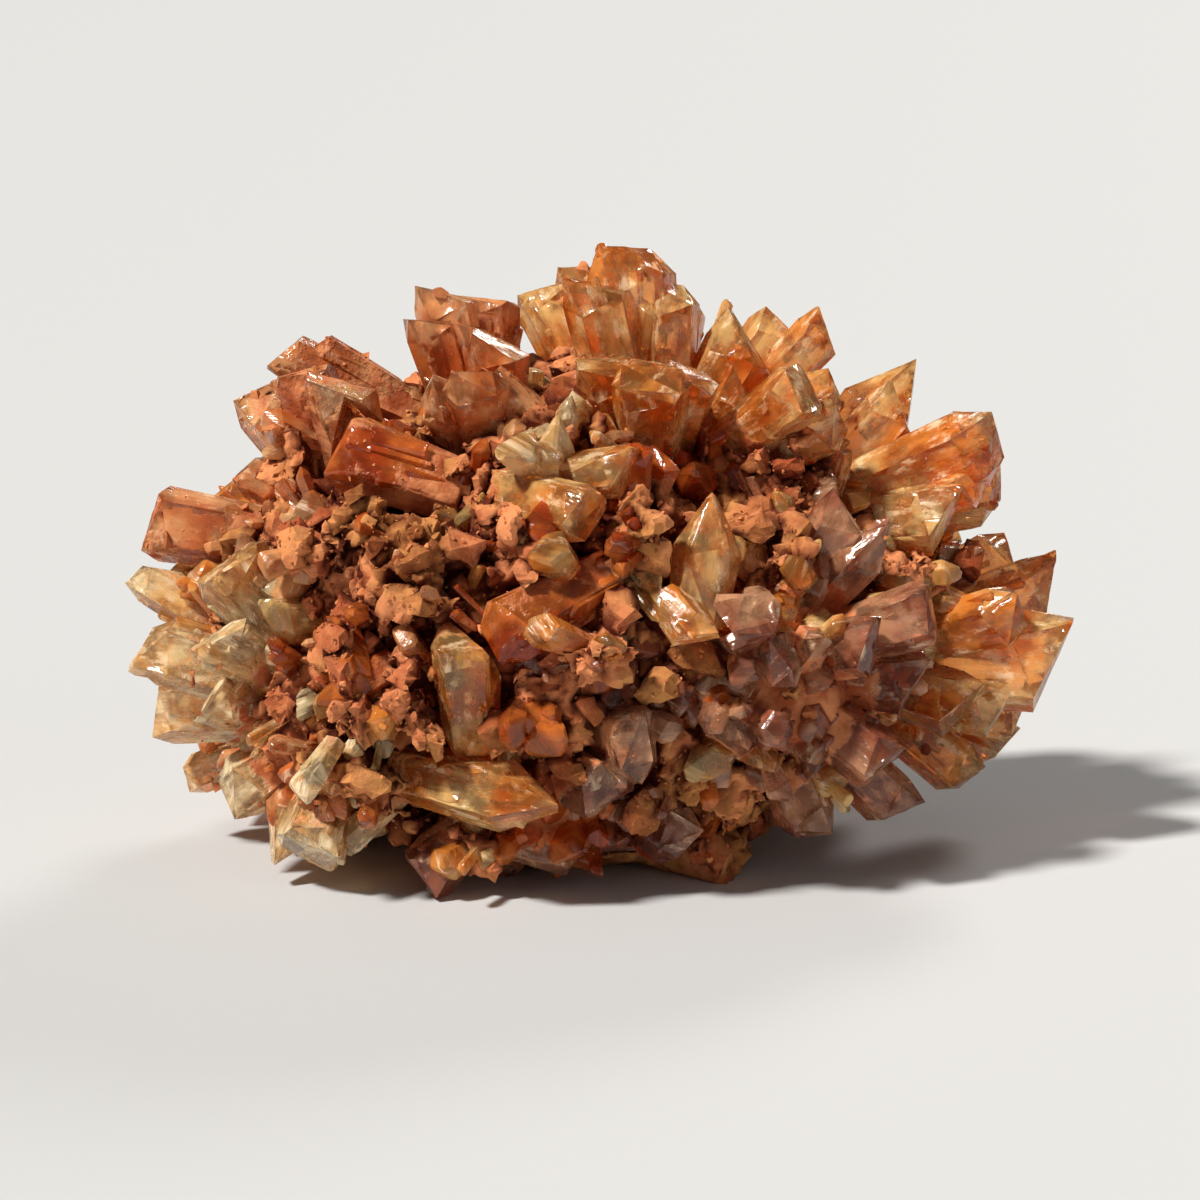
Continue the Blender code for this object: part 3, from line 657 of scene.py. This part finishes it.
def raise_ridges(node_name, mesh):
    """Fine ridges and furrows along the way the crystal grew."""
    places = points_of(mesh)
    normals = normals_of(mesh)
    axes = growth_axes(node_name, mesh, places)
    across = unit(np.cross(axes, normals))
    sideways = np.einsum("ij,ij->i", places, across) / MM * RIDGES_PER_MM
    along = np.einsum("ij,ij->i", places, axes) / MM * RIDGE_CHANGES_PER_MM
    heights = [noise.fractal(Vector((side, step, 3.7)), 0.7, 2.3, 3) for side, step in zip(sideways, along)]
    set_points(mesh, places + normals * (np.array(heights) * RIDGE_HEIGHT * MM)[:, None])


def crystal_piece(node, earth_tree, materials, slot):
    """A spray or a single crystal with worn edges, its growth lines and its dust."""
    name = node.name
    mesh = whole_faces(node.data)
    growth_lines(name, mesh)
    rough = new_piece(name + "_rough", mesh)
    bevel = rough.modifiers.new("Worn edges", "BEVEL")
    bevel.width = EDGE_WEAR
    bevel.segments = 1
    bevel.limit_method = "ANGLE"
    bevel.angle_limit = WORN_ANGLE
    bevel.use_clamp_overlap = True
    bevel.loop_slide = False
    mesh = evaluated_mesh(rough)
    bpy.data.objects.remove(rough)
    split_long_edges(mesh, FACE_CELL)
    raise_ridges(name, mesh)
    places = points_of(mesh)
    foot = 1.0 - distance_to(earth_tree, places, DUSTY_FOOT) / DUSTY_FOOT
    upward = np.clip(normals_of(mesh)[:, 2], 0.0, 1.0)
    patches = fractal(places, DUST_PATCHES_PER_MM, 2)
    dust = foot * DUST_AT_FOOT + DUST_ON_TOP * upward + DUST_IN_PATCHES * patches + DUST_ANYWHERE
    dust += DUSTIER.get(name, 0.0) + on_knot(name, places)
    add_value(mesh, "dust", np.clip(dust, 0.0, 1.0))
    smooth_with_sharp_edges(mesh, SHARP_EDGE)
    piece = new_piece(name + "_crystals", mesh)
    mesh.materials.append(materials[slot])
    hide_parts(name)
    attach(piece, "root")
    return piece


# Angular shapes

def hull_shape(corners):
    """A bmesh of the convex solid round some corners, with whole faces."""
    shape = bmesh.new()
    for corner in corners:
        shape.verts.new(corner)
    hull = bmesh.ops.convex_hull(shape, input=shape.verts)
    unused = set(hull["geom_interior"] + hull["geom_unused"])
    spare = [item for item in unused if isinstance(item, bmesh.types.BMVert)]
    bmesh.ops.delete(shape, geom=spare, context="VERTS")
    bmesh.ops.recalc_face_normals(shape, faces=shape.faces)
    bmesh.ops.dissolve_limit(shape, angle_limit=FLAT, verts=shape.verts, edges=shape.edges)
    return shape


def from_lowest(corners):
    """A face's corners in the same turning order, starting at the lowest."""
    first = corners.index(min(corners))
    return corners[first:] + corners[:first]


def arrays_of(shape):
    """The places and triangles of a bmesh, which is used up. Sorted, as a bevel leaves them in any order."""
    bmesh.ops.triangulate(shape, faces=shape.faces)
    shape.verts.index_update()
    places = np.array([vert.co[:] for vert in shape.verts])
    faces = np.array(sorted(from_lowest([vert.index for vert in face.verts]) for face in shape.faces))
    shape.free()
    return places, faces


def block_shapes(draw, count, corners):
    """A few angular blocks about 1 across, each as (places, triangles)."""
    shapes = []
    for _ in range(count):
        directions = unit(draw.normal(size=(corners, 3)))
        shapes.append(arrays_of(hull_shape([Vector(place) for place in directions * BLOCK_HALVES])))
    return shapes


def rough_blocks(draw, count):
    """A few broken lumps of clay about 1 across, each as (places, triangles)."""
    shapes = []
    for _ in range(count):
        directions = unit(draw.normal(size=(LUMP_CORNERS, 3))) * draw.uniform(0.8, 1.1, (LUMP_CORNERS, 1))
        shape = hull_shape([Vector(place) for place in directions * LUMP_HALVES])
        split_shape(shape, LUMP_DETAIL)
        shape.normal_update()
        offset = Vector(draw.uniform(-50.0, 50.0, 3))
        for vert in shape.verts:
            raised = sum(height * swell_at(vert.co * often + offset) for often, height in LUMP_SWELLS)
            vert.co += vert.normal * (raised - LUMP_WEAR)
        shapes.append(arrays_of(shape))
    return shapes


# The cross-section of a crystal, as shares of its width and thickness
SECTION = [(0.5, 0.0), (0.29, 0.5), (-0.29, 0.5), (-0.5, 0.0), (-0.29, -0.5), (0.29, -0.5)]
# The corners that close a crystal's end: their place, and how many widths below the tip
END_CORNERS = [
    [(0.33, 0.06, 0.0), (-0.25, -0.05, 0.14)],
    [(0.4, 0.21, 0.0), (0.38, -0.2, 0.06), (-0.25, 0.05, 0.42)],
    [(0.4, 0.31, 0.0), (-0.37, 0.33, 0.1), (-0.4, -0.28, 0.2), (0.37, -0.31, 0.08)],
    [(0.06, 0.1, 0.0), (-0.05, -0.1, 0.08)],
]
END_SHOULDERS = [0.42, 0.46, 0.24, 0.8]  # where each end's faces start, in widths below the tip
END_SHARES = [0.3, 0.3, 0.3, 0.1]  # how common each end is
SHAPE_LENGTH = 4.0

# A small crystal's shape: corner places, which of them belong to the tip, and its triangles
Prism = namedtuple("Prism", "places at_tip faces")


def prism_shape(draw):
    """A crystal one wide, with worn edges. Corners near the tip are given from the tip."""
    end = draw.choice(len(END_SHARES), p=END_SHARES)
    corners = []
    for across, out in SECTION:
        drawn = draw.uniform(0.82, 1.12)
        shoulder = END_SHOULDERS[end] * draw.uniform(0.7, 1.3)
        corners.append(Vector((across * PRISM_ROOT * drawn, out * PRISM_ROOT * drawn, 0.0)))
        corners.append(Vector((across * drawn, out * drawn, SHAPE_LENGTH - shoulder)))
    for across, out, below in END_CORNERS[end]:
        corners.append(Vector((across, out, SHAPE_LENGTH - below * draw.uniform(0.6, 1.4))))
    shape = hull_shape(corners)
    worn = [edge for edge in shape.edges if min(vert.co.z for vert in edge.verts) > SHAPE_LENGTH / 2]
    bmesh.ops.bevel(shape, geom=worn, offset=PRISM_WEAR, offset_type="OFFSET", segments=1, profile=0.5,
                    affect="EDGES", clamp_overlap=True)
    places, faces = arrays_of(shape)
    at_tip = places[:, 2] > SHAPE_LENGTH / 2
    places[at_tip, 2] -= SHAPE_LENGTH
    return Prism(places, at_tip, faces)


# What the piece of each kind of small crystals is called
SMALL_NAMES = {
    HONEY: "small_golden_crystals",
    PALE: "small_pale_crystals",
    RED: "small_red_crystals",
    SMOKY: "small_smoky_crystals",
    DUSTY: "small_dusty_crystals",
}


def small_crystals_piece(slot, draw, roots, axes, widths, lengths, dusts, shapes, materials):
    """Many small crystals joined in one mesh, with growth lines and dust at their feet."""
    side = unit(np.cross(axes, unit(draw.normal(size=axes.shape))))
    out = np.cross(axes, side)
    thicks = widths * draw.uniform(0.55, 0.95, len(widths))
    kinds = draw.integers(len(shapes), size=len(widths))
    all_places, all_faces, all_lines, all_dust = [], [], [], []
    start = 0
    for kind, shape in enumerate(shapes):
        chosen = np.flatnonzero(kinds == kind)
        if not len(chosen):
            continue
        across = shape.places[None, :, 0] * widths[chosen, None]
        outwards = shape.places[None, :, 1] * thicks[chosen, None]
        along = shape.places[None, :, 2] * widths[chosen, None]
        along += shape.at_tip[None, :] * lengths[chosen, None]
        places = roots[chosen, None, :] + side[chosen, None, :] * across[..., None]
        places += out[chosen, None, :] * outwards[..., None] + axes[chosen, None, :] * along[..., None]
        offsets = draw.uniform(0.0, 90.0, (len(chosen), 1))
        lines = np.stack([along / MM + offsets, (across + 0.8 * outwards) / MM + offsets], axis=-1)
        steps = start + np.arange(len(chosen)) * len(shape.places)
        foot = np.clip(1.0 - along / lengths[chosen, None], 0.0, 1.0)
        all_places.append(places.reshape(-1, 3))
        all_faces.append((shape.faces[None, :, :] + steps[:, None, None]).reshape(-1, 3))
        all_lines.append(lines.reshape(-1, 2))
        all_dust.append((dusts[chosen, None] + 1.1 * foot).reshape(-1))
        start += len(chosen) * len(shape.places)
    mesh = bpy.data.meshes.new(SMALL_NAMES[slot])
    mesh.from_pydata(np.concatenate(all_places).tolist(), [], np.concatenate(all_faces).tolist())
    layer = mesh.uv_layers.new(name="growth")
    corners = np.empty(len(mesh.loops), np.int64)
    mesh.loops.foreach_get("vertex_index", corners)
    layer.data.foreach_set("uv", np.concatenate(all_lines)[corners].astype(np.float32).ravel())
    add_value(mesh, "dust", np.clip(np.concatenate(all_dust), 0.0, 1.0))
    mesh.materials.append(materials[slot])
    piece = new_piece(SMALL_NAMES[slot], mesh)
    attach(piece, "root")
    return piece


# A set of small crystals of one slot, as arrays that small_crystals_piece takes
Set = namedtuple("Set", "slot roots axes widths lengths dusts")


def zones_at(draw, places):
    """The zone that each place lies in, by the front view's nearest zone, with ragged borders."""
    across = places[:, 0] / MM
    up = (places[:, 2] * math.cos(VIEW_TILT) + places[:, 1] * math.sin(VIEW_TILT)) / MM
    blurred = np.stack([across, up], axis=1) + draw.normal(0.0, ZONE_BLUR, (len(places), 2))
    middles = np.array([(zone.across, zone.up) for zone in ZONES])
    return np.argmin(np.linalg.norm(blurred[:, None, :] - middles[None, :, :], axis=2), axis=1)


def surface_samples(draw, mesh, count):
    """Places spread evenly over a mesh's area, with the normals there."""
    corners = points_of(mesh)[triangles_of(mesh)]
    sides = np.cross(corners[:, 1] - corners[:, 0], corners[:, 2] - corners[:, 0])
    areas = np.linalg.norm(sides, axis=1)
    picked = draw.choice(len(areas), size=count, p=areas / areas.sum())
    start, second, third = (corners[picked, corner] for corner in range(3))
    one, other = draw.random(count), draw.random(count)
    folded = one + other > 1.0
    one[folded], other[folded] = 1.0 - one[folded], 1.0 - other[folded]
    places = start + (second - start) * one[:, None] + (third - start) * other[:, None]
    return places, sides[picked] / np.maximum(areas[picked], 1e-12)[:, None]


def knot_samples(draw, crystals):
    """Places on the sprays near their centres, where thick stumps show between the crystals."""
    found = []
    for crystal in crystals:
        places, normals = surface_samples(draw, crystal.data, KNOT_TRIES)
        near = on_knot(node_of(crystal), places) > 0.6
        found.append((places[near], normals[near]))
    return joined(found)


def clear_of_singles(crystals, places, room):
    """Which places leave the crystals that stand alone in view."""
    singles = tree_of([crystal.data for crystal in crystals if node_of(crystal) not in SPRAYS])
    return distance_to(singles, places, 2.0 * room) > room


def tuft_sets(draw, earth_mesh, crystals, crystal_tree):
    """Tufts of small crystals that grow between the large ones, out of the earth and the sprays' knots."""
    places, normals = surface_samples(draw, earth_mesh, TUFT_TRIES)
    knot_places, knot_normals = knot_samples(draw, crystals)
    shares = ZONE_CRYSTALS[zones_at(draw, places)]
    chosen = draw.random(len(places)) < shares
    places = np.concatenate([places[chosen], knot_places])
    normals = np.concatenate([normals[chosen], knot_normals])
    free = open_to_air(crystal_tree, places, normals, TUFT_ROOM) & (places[:, 2] > 0.6 * MM)
    free &= clear_of_singles(crystals, places, 0.35 * MM)
    places, normals = places[free], normals[free]
    zones = zones_at(draw, places)
    kept = spaced_out(places, TUFT_SPACING * MM)
    places, normals, zones = places[kept], normals[kept], zones[kept]
    along, outward, chance = TUFT_AIM
    middles = unit(along * normals + outward * outward_at(places) + chance * draw.normal(size=places.shape))
    found = []
    for place, middle, zone in zip(places, middles, zones):
        kinds = ZONES[zone].kinds
        slot = kinds[draw.integers(len(kinds))]
        count = draw.integers(*TUFT_CRYSTALS)
        size = draw.uniform(0.6, 1.15)
        axes = unit(middle + draw.normal(0.0, TUFT_SPREAD, (count, 3)))
        reaches = mostly_small(draw, SMALL_REACH, count, 1.5) * size
        widths = mostly_small(draw, SMALL_WIDTH, count, 1.7) * size * MM
        roots = np.repeat((place - middle * TUFT_DEPTH * MM)[None, :], count, axis=0)
        roots = roots + draw.normal(0.0, TUFT_SCATTER, (count, 3)) * MM
        lengths = np.maximum((TUFT_DEPTH + reaches) * MM, widths * 1.3)
        found.append(Set(slot, roots, axes, widths, lengths, np.full(count, draw.uniform(-0.5, 0.25))))
    return found


def blade_sets(draw, crystals, slots, block_tree):
    """Narrow blades that have grown along the sides of the large crystals."""
    areas = areas_of(crystals)
    found = []
    for crystal, area, slot in zip(crystals, areas, slots):
        count = int(BLADE_TRIES * area / sum(areas))
        places, normals = surface_samples(draw, crystal.data, count)
        free = open_to_air(block_tree, places, normals, BLADE_ROOM)
        places, normals = places[free], normals[free]
        if not len(places):
            continue
        kept = spaced_out(places, BLADE_SPACING * MM)
        places, normals = places[kept], normals[kept]
        axes = growth_axes(node_of(crystal), crystal.data, places)
        sideways = np.abs(np.einsum("ij,ij->i", axes, normals)) < 0.75
        places, normals, axes = places[sideways], normals[sideways], axes[sideways]
        count = len(places)
        axes = unit(axes + draw.normal(0.0, BLADE_LEAN, (count, 3)))
        widths = mostly_small(draw, BLADE_WIDTH, count, 1.6) * MM
        places = places - normals * widths[:, None] * BLADE_SUNK
        reaches = draw.uniform(*BLADE_REACH, count) * MM
        lengths = reaches + widths * draw.uniform(1.5, 3.5, count)
        roots = places + axes * (reaches - lengths)[:, None]
        found.append(Set(slot, roots, axes, widths, lengths, draw.uniform(-0.7, 0.0, count)))
    return found


def small_crystals(earth, crystals, crystal_tree, block_tree, slots, materials):
    """All small crystals, one piece for each kind."""
    draw = np.random.default_rng(SEEDS["small crystals"])
    shapes = [prism_shape(draw) for _ in range(PRISM_SHAPES)]
    found = tuft_sets(draw, earth.data, crystals, crystal_tree)
    found += blade_sets(draw, crystals, slots, block_tree)
    pieces = []
    for slot in sorted({group.slot for group in found}):
        groups = [group for group in found if group.slot == slot]
        roots, axes, widths, lengths, dusts = (
            np.concatenate([group[field] for group in groups]) for field in range(1, 6))
        tips = roots + axes * lengths[:, None]
        above = (roots[:, 2] > widths) & (tips[:, 2] > widths * 0.7)
        pieces.append(small_crystals_piece(slot, draw, roots[above], axes[above], widths[above],
                                           lengths[above], dusts[above], shapes, materials))
    return pieces


# Earth

def crumb_field(draw, places, layer):
    """How high crumbs stand at each place, in mm, how near a crack it is, and its crumb's own number."""
    spacing = layer.width * MM
    count = int(len(places) * (EARTH_CELL / spacing) ** 2 * 1.3)
    seeds = places[draw.choice(len(places), size=count, replace=False)]
    seeds = seeds + draw.uniform(-0.5, 0.5, seeds.shape) * spacing
    tree = point_tree(seeds)
    nearest = np.empty(len(places), np.int64)
    gaps = np.empty(len(places))
    for number, place in enumerate(places):
        (_, first, near), (_, _, far) = tree.find_n(Vector(place), 2)
        nearest[number] = first
        gaps[number] = far - near
    gaps = np.clip(gaps / (0.4 * spacing), 0.0, 1.0)
    steps = draw.uniform(-1.0, 1.0, count)
    tilts = unit(draw.normal(size=(count, 3)))
    sloped = np.einsum("ij,ij->i", places - seeds[nearest], tilts[nearest]) / spacing
    height = layer.crack * (gaps - 1.0) + layer.step * steps[nearest] + layer.tilt * sloped
    return height, 1.0 - gaps, draw.random(count)[nearest]


def hollowness(draw, places, normals, tree):
    """How much of the sky over each place is hidden by what is near, from 0 to 1, which becomes painted
    shade.
    """
    hidden = np.zeros(len(places))
    starts = places + normals * 0.1 * MM
    for _ in range(HOLLOW_RAYS):
        directions = unit(normals + 0.75 * unit(draw.normal(size=places.shape)))
        for number, (start, direction) in enumerate(zip(starts, directions)):
            if tree.ray_cast(Vector(start), Vector(direction), HOLLOW_ROOM)[0] is not None:
                hidden[number] += 1.0 / HOLLOW_RAYS
    return hidden


def earth_piece(node, materials):
    """The lump of earth with a broken, crumbly surface that closes on the crystals' feet."""
    draw = np.random.default_rng(SEEDS["earth"])
    piece = new_piece("earth_lump", whole_faces(node.data))
    remesh = piece.modifiers.new("Even cells", "REMESH")
    remesh.mode = "VOXEL"
    remesh.voxel_size = EARTH_CELL
    mesh = evaluated_mesh(piece)
    piece.modifiers.clear()
    piece.data = mesh
    places = points_of(mesh)
    normals = normals_of(mesh)
    height = EARTH_SWELL + fractal(places, EARTH_SWELLS_PER_MM, 2) * EARTH_SWELLS
    height += fractal(places, EARTH_GRIT_PER_MM, 2) * EARTH_GRIT
    cracks = np.zeros(len(places))
    shade = np.zeros(len(places))
    for layer in CRUMB_LAYERS:
        raised, crack, own = crumb_field(draw, places, layer)
        height += raised
        cracks = np.maximum(cracks, crack)
        shade += own / len(CRUMB_LAYERS)
    above_rest = np.clip(places[:, 2] / REST_EDGE, 0.0, 1.0)
    moved = places + normals * (height * MM * above_rest)[:, None]
    moved[:, 2] = np.maximum(moved[:, 2], 0.0)
    set_points(mesh, moved)
    add_value(mesh, "crack", cracks)
    add_value(mesh, "shade", shade)
    mesh.materials.append(materials["earth"])
    smooth_with_sharp_edges(mesh, EARTH_SHARP)
    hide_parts("earth_matrix")
    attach(piece, "root")
    return piece


def lump_places(draw, earth, crystals):
    """Places for lumps of clay: all over the earth, and here and there on the crystals that are dustiest."""
    found = [surface_samples(draw, earth.data, LUMP_TRIES)]
    areas = areas_of(crystals)
    for crystal, area in zip(crystals, areas):
        name = node_of(crystal)
        tries = int(LUMPS_ON_CRYSTALS * (DUSTIER.get(name, 0.0) + LUMPS_ANYWHERE) * area / np.mean(areas))
        places, normals = surface_samples(draw, crystal.data, tries)
        low = (distance_to_middle(places) < draw.uniform(*LUMP_LIMITS, tries)) | (on_knot(name, places) > 0.5)
        found.append((places[low], normals[low]))
    return joined(found)


def distance_to_middle(places):
    """How far out each place is: 0 in the heart of the cluster and 1 at its rim."""
    return np.linalg.norm((places / MM - HEART) / RIM_REACH, axis=1)


def earth_lumps(earth, crystals, crystal_tree, materials):
    """Broken lumps of clay stuck on the earth, fewest where small crystals take the room."""
    draw = np.random.default_rng(SEEDS["lumps"])
    places, normals = lump_places(draw, earth, crystals)
    free = open_to_air(crystal_tree, places, normals, LUMP_ROOM) & (places[:, 2] > 1.2 * MM)
    places, normals = places[free], normals[free]
    shares = ZONE_CRYSTALS[zones_at(draw, places)]
    chosen = draw.random(len(places)) > shares * 0.9
    places, normals = places[chosen], normals[chosen]
    kept = spaced_out(places, LUMP_SPACING * MM)
    places, normals = places[kept], normals[kept]
    sizes = mostly_small(draw, LUMP_SIZE, len(places), 1.3) * MM
    clear = clear_of_singles(crystals, places, 0.3 * MM)
    sizes = np.where(clear, sizes, np.minimum(sizes, SMALL_LUMP * MM))
    above = places[:, 2] > sizes * 0.75
    places = (places + normals * sizes[:, None] * 0.16)[above]
    mesh = grains_mesh("earth_lumps", draw, places, sizes[above], rough_blocks(draw, LUMP_SHAPES))
    add_value(mesh, "crack", np.zeros(len(mesh.vertices)))
    mesh.materials.append(materials["earth"])
    smooth_with_sharp_edges(mesh, LUMP_SHARP)
    piece = new_piece("earth_lumps", mesh)
    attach(piece, "root")
    return piece


def paint_hollow_shade(pieces, around):
    """Stores painted shade for each point of the earth and lumps, from how deep in a crack or between its
    neighbours it lies.
    """
    draw = np.random.default_rng(SEEDS["hollows"])
    for piece in pieces:
        mesh = piece.data
        cracks = np.empty(len(mesh.vertices), np.float32)
        mesh.attributes["crack"].data.foreach_get("value", cracks)
        hidden = hollowness(draw, points_of(mesh), normals_of(mesh), around)
        # Painted shade: more where more of the sky is hidden, and more near a crack
        add_value(mesh, "hollow", np.clip(hidden * 1.7 - 0.35 + 0.25 * cracks, 0.0, 1.0))


# Grains

def random_turns(draw, count):
    """Rotation matrices spread evenly over all directions."""
    spin = draw.normal(size=(count, 4))
    spin /= np.linalg.norm(spin, axis=1)[:, None]
    w, x, y, z = spin.T
    return np.stack([
        np.stack([1 - 2 * (y * y + z * z), 2 * (x * y - z * w), 2 * (x * z + y * w)], axis=1),
        np.stack([2 * (x * y + z * w), 1 - 2 * (x * x + z * z), 2 * (y * z - x * w)], axis=1),
        np.stack([2 * (x * z - y * w), 2 * (y * z + x * w), 1 - 2 * (x * x + y * y)], axis=1),
    ], axis=1)


def grains_mesh(name, draw, places, sizes, shapes):
    """Blocks of these sizes at these places, joined in one mesh, each with its own shade."""
    turns = random_turns(draw, len(places))
    kinds = draw.integers(len(shapes), size=len(places))
    all_places, all_faces, shades = [], [], []
    start = 0
    for kind, (corners, faces) in enumerate(shapes):
        chosen = np.flatnonzero(kinds == kind)
        turned = np.einsum("nij,kj->nki", turns[chosen], corners) * sizes[chosen][:, None, None]
        moved = turned + places[chosen][:, None, :]
        steps = start + np.arange(len(chosen)) * len(corners)
        all_places.append(moved.reshape(-1, 3))
        all_faces.append((faces[None, :, :] + steps[:, None, None]).reshape(-1, 3))
        shades.append(np.repeat(draw.random(len(chosen)), len(corners)))
        start += len(chosen) * len(corners)
    mesh = bpy.data.meshes.new(name)
    mesh.from_pydata(np.concatenate(all_places).tolist(), [], np.concatenate(all_faces).tolist())
    add_value(mesh, "shade", np.concatenate(shades))
    return mesh


def loose_piece(name, draw, found, shapes, materials):
    """A piece of loose crumbs from several (places, sizes), without those that would reach below the base."""
    places, sizes = joined(found)
    above = places[:, 2] > sizes * 0.6
    mesh = grains_mesh(name, draw, places[above], sizes[above], shapes)
    piece = new_piece(name, mesh)
    mesh.materials.append(materials["earth_grains"])
    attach(piece, "root")


def earth_grains(earths, block_tree, materials):
    """Crumbs of clay from coarse to fine over the open surface of the earth."""
    draw = np.random.default_rng(SEEDS["grains"])
    shapes = block_shapes(draw, GRAIN_SHAPES, GRAIN_CORNERS)
    found = []
    for earth, (total, limits) in [(earth, row) for earth in earths for row in GRAIN_COUNTS]:
        count = total // len(earths)
        places, normals = surface_samples(draw, earth.data, count * 3)
        free = open_to_air(block_tree, places, normals, GRAIN_ROOM)
        places, normals = places[free][:count], normals[free][:count]
        clumps = fractal(places, 0.3, 2)
        kept = draw.random(len(places)) < np.clip(0.75 + 1.3 * clumps, 0.12, 1.0)
        places, normals = places[kept], normals[kept]
        sizes = mostly_small(draw, limits, len(places), 2) * MM
        found.append((places + normals * sizes[:, None] * 0.12, sizes))
    loose_piece("earth_grains", draw, found, shapes, materials)


def crystal_dust(crystals, materials):
    """Fine crumbs that lie on the crystals where they are dusty."""
    draw = np.random.default_rng(SEEDS["dust"])
    shapes = block_shapes(draw, DUST_SHAPES, DUST_CORNERS)
    areas = areas_of(crystals)
    found = []
    for crystal, area in zip(crystals, areas):
        dustier = DUSTIER.get(node_of(crystal), 0.0)
        for count, limits in DUST_COUNTS:
            places, normals = surface_samples(draw, crystal.data, int(count * 4 * area / sum(areas)))
            earthy = 1.0 - ZONE_CRYSTALS[zones_at(draw, places)]
            clumps = fractal(places, 0.45, 3)
            likely = 0.3 * np.clip(normals[:, 2], 0.0, 1.0) + 0.9 * clumps + 0.45 * earthy + dustier - 0.1
            chosen = draw.random(len(places)) < np.clip(likely, 0.0, 1.0)
            sizes = mostly_small(draw, limits, chosen.sum(), 2.5) * MM
            found.append((places[chosen], sizes))
    loose_piece("crystal_dust", draw, found, shapes, materials)


# Stage

def aimed(name, data, place, back):
    """A lamp or a camera at a place, with `back` the way straight behind it."""
    made = new_piece(name, data)
    made.location = place
    made.rotation_mode = "QUATERNION"
    made.rotation_quaternion = (-back).to_track_quat("-Z", "Y")
    return made


def far_light(lamp):
    """A lamp so far away that it lights the whole floor evenly."""
    light = bpy.data.lights.new(lamp.name, "SUN")
    light.energy = lamp.strength
    light.angle = lamp.softness
    light.color = lamp.colour
    towards = Vector(lamp.towards).normalized()
    aimed(lamp.name, light, towards, towards)


def make_stage():
    """A plain pale floor, a soft key light from the upper left and weak fills."""
    mesh = bpy.data.meshes.new("floor")
    turns = ((-1, -1), (1, -1), (1, 1), (-1, 1))
    mesh.from_pydata([(x * FLOOR_REACH, y * FLOOR_REACH, 0) for x, y in turns], [], [(0, 1, 2, 3)])
    floor = new_piece("floor", mesh)
    surface = Surface("floor")
    surface.set("Base Color", FLOOR_COLOUR)
    surface.set("Roughness", 0.8)
    mesh.materials.append(surface.material)
    for lamp in LAMPS:
        far_light(lamp)
    world = bpy.context.scene.world or bpy.data.worlds.new("studio")
    bpy.context.scene.world = world
    world.use_nodes = True
    background = world.node_tree.nodes["Background"]
    background.inputs["Color"].default_value = SKY_COLOUR
    background.inputs["Strength"].default_value = SKY_STRENGTH
    bpy.context.scene.view_settings.view_transform = "Standard"


def make_camera():
    """The photograph's view."""
    camera = bpy.data.cameras.new("camera")
    camera.lens = CAMERA_LENS
    camera.clip_start = 0.005
    camera.clip_end = 20.0
    back = Vector((0.0, -math.cos(VIEW_TILT), math.sin(VIEW_TILT)))
    bpy.context.scene.camera = aimed("camera", camera, CAMERA_AIM + back * CAMERA_DISTANCE, back)


def main():
    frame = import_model()
    nodes = frame["nodes"]
    slots = {part["node"]: part["material_slot"] for part in frame["record"]["subparts"]}
    materials = {name: crystal_material(name) for name in CRYSTAL_LOOKS}
    materials["earth"] = earth_material("earth")
    materials["earth_grains"] = grain_material("earth_grains")

    crystal_nodes = [nodes[name] for name in sorted(nodes) if name != "earth_matrix"]
    crystal_slots = [slots[node.name] for node in crystal_nodes]
    earth_tree = tree_of([nodes["earth_matrix"].data])
    crystal_tree = tree_of([node.data for node in crystal_nodes])
    crystals = [crystal_piece(node, earth_tree, materials, slot)
                for node, slot in zip(crystal_nodes, crystal_slots)]
    earth = earth_piece(nodes["earth_matrix"], materials)
    lumps = earth_lumps(earth, crystals, crystal_tree, materials)
    block_tree = tree_of([earth.data, lumps.data] + [node.data for node in crystal_nodes])
    small = small_crystals(earth, crystals, crystal_tree, block_tree, crystal_slots, materials)
    small_tree = tree_of([piece.data for piece in small] + [node.data for node in crystal_nodes])
    paint_hollow_shade([earth, lumps], tree_of([piece.data for piece in [earth, lumps] + crystals + small]))
    earth_grains([earth, lumps], small_tree, materials)
    crystal_dust(crystals + small, materials)
    make_stage()
    make_camera()


main()
